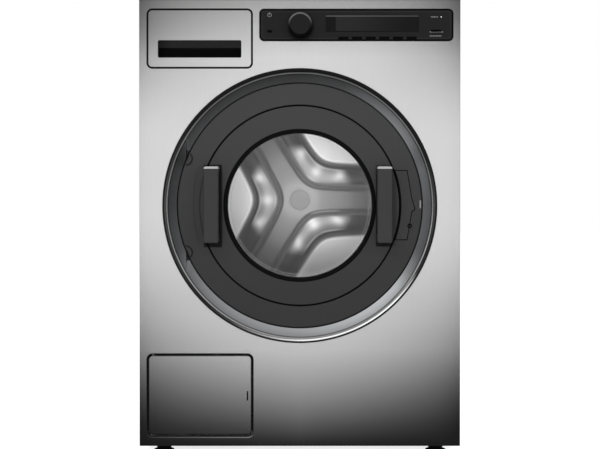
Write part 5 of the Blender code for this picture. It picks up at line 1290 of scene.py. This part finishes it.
def pressed_back(x, z):
    """The drum's pressed back: how far each point stands forwards in metres, and its painted light and shade,
    brighter towards the top.
    """
    radius = np.hypot(x, z)
    lift = np.zeros_like(x)
    # Painted light and shade: a lighter ring near the hub, darker far from it
    tone = 0.25 + 0.09 * hump(radius, 0.028, 0.016) - 0.05 * step(radius, 0.08, 0.13)
    fade = 1 - step(radius, 0.098, 0.122)
    for angle, peak in zip(CHEVRON_ANGLES, GLINT_PLACES, strict=True):
        a = math.radians(angle)
        along, across = x * math.cos(a) + z * math.sin(a), -x * math.sin(a) + z * math.cos(a)
        off = along * math.sin(CHEVRON_SLOPE) - np.hypot(across, SPINE_ROUND) * math.cos(CHEVRON_SLOPE)
        inner = band(off, *INNER_CHANNEL)
        spread = np.clip(np.abs(across) / 0.05, 0, 1)
        low = BEAD_LOW + 0.0035 * spread
        high = BEAD_HIGH - 0.0018 * spread
        bead = band(off, low, low + BEAD_RISE, high, high + BEAD_FALL)
        outer = band(off, high, high + BEAD_FALL, *CHANNEL_END)
        pad = step(off, *PAD_START)
        place = np.clip((off - BEAD_MIDDLE) / BEAD_HALF, -1, 1)
        lift += bead * BEAD_HEIGHT * (1 - place**2) + (pad - inner - outer) * PRESS_DEPTH
        # Painted glints and bright lines on each bead
        glint = sum(hump(across, at, 0.0108) for at in GLINTS_ACROSS)
        bead_painted_light = 0.30 + 0.10 * hump(place, peak, 0.6) + 0.46 * glint * hump(place, peak, 0.65)
        bead_painted_light += 0.36 * hump(place, 0.78, 0.05) * (1 - 0.5 * glint)
        bead_painted_light += 0.22 * hump(place, -0.72, 0.07) * hump(across, 0.0, 0.016)
        # Painted shade in the channels, painted light on the beads, and a painted reflection on the pads,
        # with painted shade at the lower right
        tone = towards(tone, 0.14, inner)
        tone = towards(tone, towards(0.11, bead_painted_light, fade), bead)
        tone = towards(tone, 0.115, outer)
        shade = 1 - 0.30 * step(-z, 0.06, 0.15) * step(x, -0.02, 0.03)
        tone = towards(tone, (0.80 - 0.12 * step(radius, 0.11, 0.18)) * shade, pad)
        # A painted dark line near each bead's outer edge, and on the chevron at 300 degrees a painted
        # highlight along its inner channel
        tone = tone * (1 - 0.35 * fade * hump(off, 0.0640, 0.0011))
        if angle > 180:
            tone = tone + 0.26 * band(across, 0.0, 0.015, 0.050, 0.070) * hump(off, 0.0198, 0.0013)
    # Painted shade on the hub and painted light on its collar
    hub = 1 - step(radius, 0.0195, 0.0212)
    collar = band(radius, 0.0205, 0.0215, 0.0232, 0.0245)
    tone = towards(towards(tone, 0.255, hub), 0.36, collar)
    lift = lift + collar * 0.0004 - hub * 0.0003
    edge = step(radius, 0.205, 0.236)
    # The tone grows towards the top: painted light
    return lift * (1 - edge), np.clip(tone * (1 + 1.8 * z), 0.03, 1.0)


def set_painted_light(obj, tone):
    """Keeps each point's painted light and shade in the attribute tone."""
    attribute = obj.data.attributes.new("tone", "FLOAT", "POINT")
    attribute.data.foreach_set("value", np.asarray(tone, np.float32))


def make_drum_back():
    """A fine disc of points that the pressed shapes lift, with a sheet's thickness."""
    rings, around = 150, 240
    radii = np.concatenate([[0.0], np.linspace(0.002, 0.238, rings - 1)])
    angles = np.arange(around) * 2 * math.pi / around
    r, a = np.meshgrid(radii[1:], angles, indexing="ij")
    x = np.concatenate([[0.0], (r * np.cos(a)).ravel()])
    z = np.concatenate([[0.0], (r * np.sin(a)).ravel()])
    lift, tone = pressed_back(x, z)
    y = FRONT_Y + DRUM_DEPTH - lift
    points = np.stack([x, y, z + DOOR_Z], axis=1)
    faces = [(0, 1 + j, 1 + (j + 1) % around) for j in range(around)]
    for i in range(rings - 2):
        low, high = 1 + i * around, 1 + (i + 1) * around
        for j in range(around):
            k = (j + 1) % around
            faces.append((low + j, high + j, high + k, low + k))
    obj = make_object("drum_back", points, faces)
    set_painted_light(obj, tone)
    obj.data.shade_smooth()
    wall = obj.modifiers.new("wall", "SOLIDIFY")
    wall.thickness, wall.offset = 0.002, -1.0
    return flatten(obj)


def make_drum_holes(rows, around):
    """Dark discs on the drum's inner wall, in place of its holes."""
    holes = make_object("drum_perforations", [], [])
    values = {
        "Rows": rows,
        "Holes Around": around,
        "Start": (0.0, FRONT_Y + HOLES_DEPTH, DOOR_Z),
        "Finish": finish("black_plastic"),
    }
    return fit(grown(holes, grow_holes(), values), "drum", "black_plastic", "bright_steel")


def make_drum():
    """The drum's wall with its rim, and its pressed back."""
    shell = turned("drum_shell", eased(DRUM_LOOP, 0.003, 4), around=144)
    set_painted_light(shell, np.full(len(shell.data.vertices), 0.55))
    fit(shell, "drum", "drum_steel", "bright_steel", "drum")
    fit(make_drum_back(), "drum", "drum_steel", "bright_steel")


# Back


def make_rear_cover():
    """A screwed service plate on the back, with an embossed field."""
    outline = rounded_rectangle(-0.205, 0.205, 0.170, 0.690, 0.018, 10)
    plate = slab("rear_cover", outline, COVER, BACK, 0.0006)
    outline = rounded_rectangle(-0.165, 0.165, 0.210, 0.650, 0.020, 10)
    field = slab("rear_cover_field", outline, COVER + 0.0022, COVER - 0.0004, 0.0022, 5)
    return fit(joined("rear_service_cover", plate, field), "cabinet", "zinc_sheet", "zinc_sheet")


def make_louvres(count):
    """Pressed cooling slots under the service plate."""
    length, proud, half, low, pitch = 0.120, 0.0034, 0.0035, 0.052, 0.0125
    y = FRONT_Y + BACK + 0.0001
    bend = [math.pi * k / 8 for k in range(9)]
    rings = []
    for t in np.arange(15) / 14:
        bulge = proud * math.sin(math.pi * t) ** 0.4 + 0.0002
        x = length * (t - 0.5)
        rings.append([(x, y + bulge * math.sin(a), low - half * math.cos(a)) for a in bend])
    louvre = lofted("louvres", rings)
    values = {"Count": count, "Step": (0.0, 0.0, pitch), "Finish": finish("zinc_sheet")}
    return fit(grown(louvre, grow_rows(), values), "cabinet", "zinc_sheet", "zinc_sheet")


def rear_screw_places():
    """Where screws hold the rear panel and its service plate."""
    edge = [(x, z) for x in (-0.287, 0.287) for z in np.linspace(0.045, 0.820, 7)]
    edge += [(x, z) for x in (-0.18, -0.06, 0.06, 0.18) for z in (0.034, 0.832)]
    cover = [(x, z) for x in (-0.192, 0.192) for z in (0.183, 0.305, 0.430, 0.555, 0.677)]
    cover += [(x, z) for x in (-0.064, 0.064) for z in (0.183, 0.677)]
    points = [(x, FRONT_Y + BACK + 0.0002, z) for x, z in edge]
    return points + [(x, FRONT_Y + COVER, z) for x, z in cover]


def make_rear_screws(radius):
    """All the screws on the back, as one piece."""
    screws = make_object("rear_screws", rear_screw_places(), [])
    values = {"Head Radius": radius, "Finish": finish("bright_steel")}
    return fit(grown(screws, grow_screws(), values), "cabinet", "bright_steel", "bright_steel")


def make_bolt_caps():
    """The round caps that close the holes of the transport bolts."""
    caps = []
    shape = [(0.0, 0.5905), (0.0135, 0.5905), (0.0165, 0.5875), (0.0165, BACK), (0.0, BACK)]
    shape = eased(shape, 0.0010, 3, closed=False)
    for z in (0.150, 0.640):
        for x in (-0.240, 0.240):
            caps.append(turned("cap", shape, (x, z), closed=False, around=48))
    return fit(joined("transport_bolt_caps", *caps), "cabinet", "dark_plastic", "dark_plastic")


# Seal


def make_door_seal():
    """The rubber bellows between the cabinet and the tub."""
    profile = [(0.1647, 0.0415), (0.1647, 0.0463), (0.1745, 0.0463), (0.1745, 0.0560), (0.1725, 0.0580)]
    profile += [(0.1745, 0.0600), (0.1745, 0.0690), (0.1625, 0.0690), (0.1625, 0.0640), (0.1600, 0.0615)]
    profile += [(0.1625, 0.0585), (0.1570, 0.0545), (0.1590, 0.0520), (0.1527, 0.0493), (0.1527, 0.0415)]
    profile += [(0.1368, 0.0318), (0.1368, 0.0288), (0.1428, 0.0288)]
    seal = turned("bellows", eased(profile, 0.0012, 4), around=144)
    seal.data.materials.append(finish("grey_rubber"))
    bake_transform(seal)
    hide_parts("door_seal")


# Operators


class Piece:
    """What every operator here shares."""

    bl_options = {"REGISTER", "UNDO"}


class WasherSizes(bpy.types.PropertyGroup):
    """Sizes and counts that may be changed before the pieces are made"""

    hole_rows: bpy.props.IntProperty(
        name="Drum Hole Rows", description="Rings of holes along the drum", default=11, min=1, max=20
    )
    holes_around: bpy.props.IntProperty(
        name="Holes Around", description="Holes in each ring of the drum", default=54, min=8, max=90
    )
    louvres: bpy.props.IntProperty(
        name="Louvres", description="Pressed cooling slots on the back", default=8, min=1, max=9
    )
    screw_radius: bpy.props.FloatProperty(
        name="Screw Radius",
        description="Flange radius of the screws on the back",
        default=0.0042,
        min=0.002,
        max=0.006,
        subtype="DISTANCE",
        unit="LENGTH",
    )


def colour_property(label, words, colour):
    """A colour with its default, for the sidebar."""
    return bpy.props.FloatVectorProperty(
        name=label, description=words, default=colour, size=4, min=0.0, max=1.0, subtype="COLOR"
    )


class WasherColours(bpy.types.PropertyGroup):
    """Colours that may be changed before the pieces are made"""

    steel: colour_property("Side Steel", "The steel sheets away from the front", grey(192))
    door: colour_property("Door", "The door's frame and ring", grey(52))
    bars: colour_property("Grip Bars", "The two bars on the door", grey(52))
    drum: colour_property("Drum", "The drum's polished sheet", grey(246))


class WASHER_OT_stage(Piece, bpy.types.Operator):
    """Sets the camera, floor, world and lamps"""

    bl_idname = "washer.stage"
    bl_label = "Stage"

    def execute(self, context):
        make_stage()
        return {"FINISHED"}


class WASHER_OT_cabinet(Piece, bpy.types.Operator):
    """Finishes the cabinet's panels, tray and inner fittings"""

    bl_idname = "washer.cabinet"
    bl_label = "Cabinet"

    def execute(self, context):
        paint_nodes(CABINET_NODES)
        return {"FINISHED"}


class WASHER_OT_surround(Piece, bpy.types.Operator):
    """Makes the band, lip, cone and well round the door"""

    bl_idname = "washer.surround"
    bl_label = "Door Surround"

    def execute(self, context):
        make_door_surround()
        return {"FINISHED"}


class WASHER_OT_door(Piece, bpy.types.Operator):
    """Makes the door's frame, pins, caps, ring, gasket and glass"""

    bl_idname = "washer.door"
    bl_label = "Door"

    def execute(self, context):
        make_door_frame()
        make_door_pins()
        make_hinge_caps()
        make_glass_parts()
        return {"FINISHED"}


class WASHER_OT_bars(Piece, bpy.types.Operator):
    """Makes the two grip bars and the latch"""

    bl_idname = "washer.bars"
    bl_label = "Grip Bars and Latch"

    def execute(self, context):
        make_bar("left")
        make_bar("right")
        make_latch()
        return {"FINISHED"}


class WASHER_OT_controls(Piece, bpy.types.Operator):
    """Finishes the drawer and fascia and makes the knob"""

    bl_idname = "washer.controls"
    bl_label = "Drawer and Controls"

    def execute(self, context):
        paint_nodes(CONTROL_NODES)
        make_knob()
        make_fascia_marks()
        return {"FINISHED"}


class WASHER_OT_feet(Piece, bpy.types.Operator):
    """Makes the four feet and finishes the service flap and filter"""

    bl_idname = "washer.feet"
    bl_label = "Feet and Flap"

    def execute(self, context):
        make_feet()
        paint_nodes(FOOT_NODES)
        for name, values in SEAM_SHADE_STRIPS.items():
            make_seam_shade_strip(name, *values)
        return {"FINISHED"}


class WASHER_OT_drum(Piece, bpy.types.Operator):
    """Makes the drum with its pressed back, and the seal"""

    bl_idname = "washer.drum"
    bl_label = "Drum and Seal"

    def execute(self, context):
        sizes = context.scene.washer_sizes
        make_drum()
        make_drum_holes(sizes.hole_rows, sizes.holes_around)
        make_door_seal()
        paint_nodes(WORKS_NODES)
        return {"FINISHED"}


class WASHER_OT_back(Piece, bpy.types.Operator):
    """Makes the back's service cover, louvres, screws and bolt caps"""

    bl_idname = "washer.back"
    bl_label = "Back"

    def execute(self, context):
        sizes = context.scene.washer_sizes
        make_rear_cover()
        make_louvres(sizes.louvres)
        make_rear_screws(sizes.screw_radius)
        make_bolt_caps()
        return {"FINISHED"}


class WASHER_PT_panel(bpy.types.Panel):
    """Lists the machine's pieces in the sidebar"""

    bl_idname = "WASHER_PT_panel"
    bl_label = "Washing Machine"
    bl_space_type = "VIEW_3D"
    bl_region_type = "UI"
    bl_category = "Washer"

    def draw(self, context):
        for group in (context.scene.washer_sizes, context.scene.washer_colours):
            for name in group.__annotations__:
                self.layout.prop(group, name)
        for piece in OPERATORS:
            self.layout.operator(piece.bl_idname)


OPERATORS = (
    WASHER_OT_stage,
    WASHER_OT_cabinet,
    WASHER_OT_surround,
    WASHER_OT_door,
    WASHER_OT_bars,
    WASHER_OT_controls,
    WASHER_OT_feet,
    WASHER_OT_drum,
    WASHER_OT_back,
)
CLASSES = (WasherSizes, WasherColours, *OPERATORS, WASHER_PT_panel)


def register():
    for made in CLASSES:
        bpy.utils.register_class(made)
    bpy.types.Scene.washer_sizes = bpy.props.PointerProperty(type=WasherSizes)
    bpy.types.Scene.washer_colours = bpy.props.PointerProperty(type=WasherColours)


def unregister():
    del bpy.types.Scene.washer_sizes, bpy.types.Scene.washer_colours
    for made in reversed(CLASSES):
        bpy.utils.unregister_class(made)


def main():
    register()
    for piece in OPERATORS:
        group, name = piece.bl_idname.split(".")
        getattr(getattr(bpy.ops, group), name)()


if __name__ == "__main__":
    main()
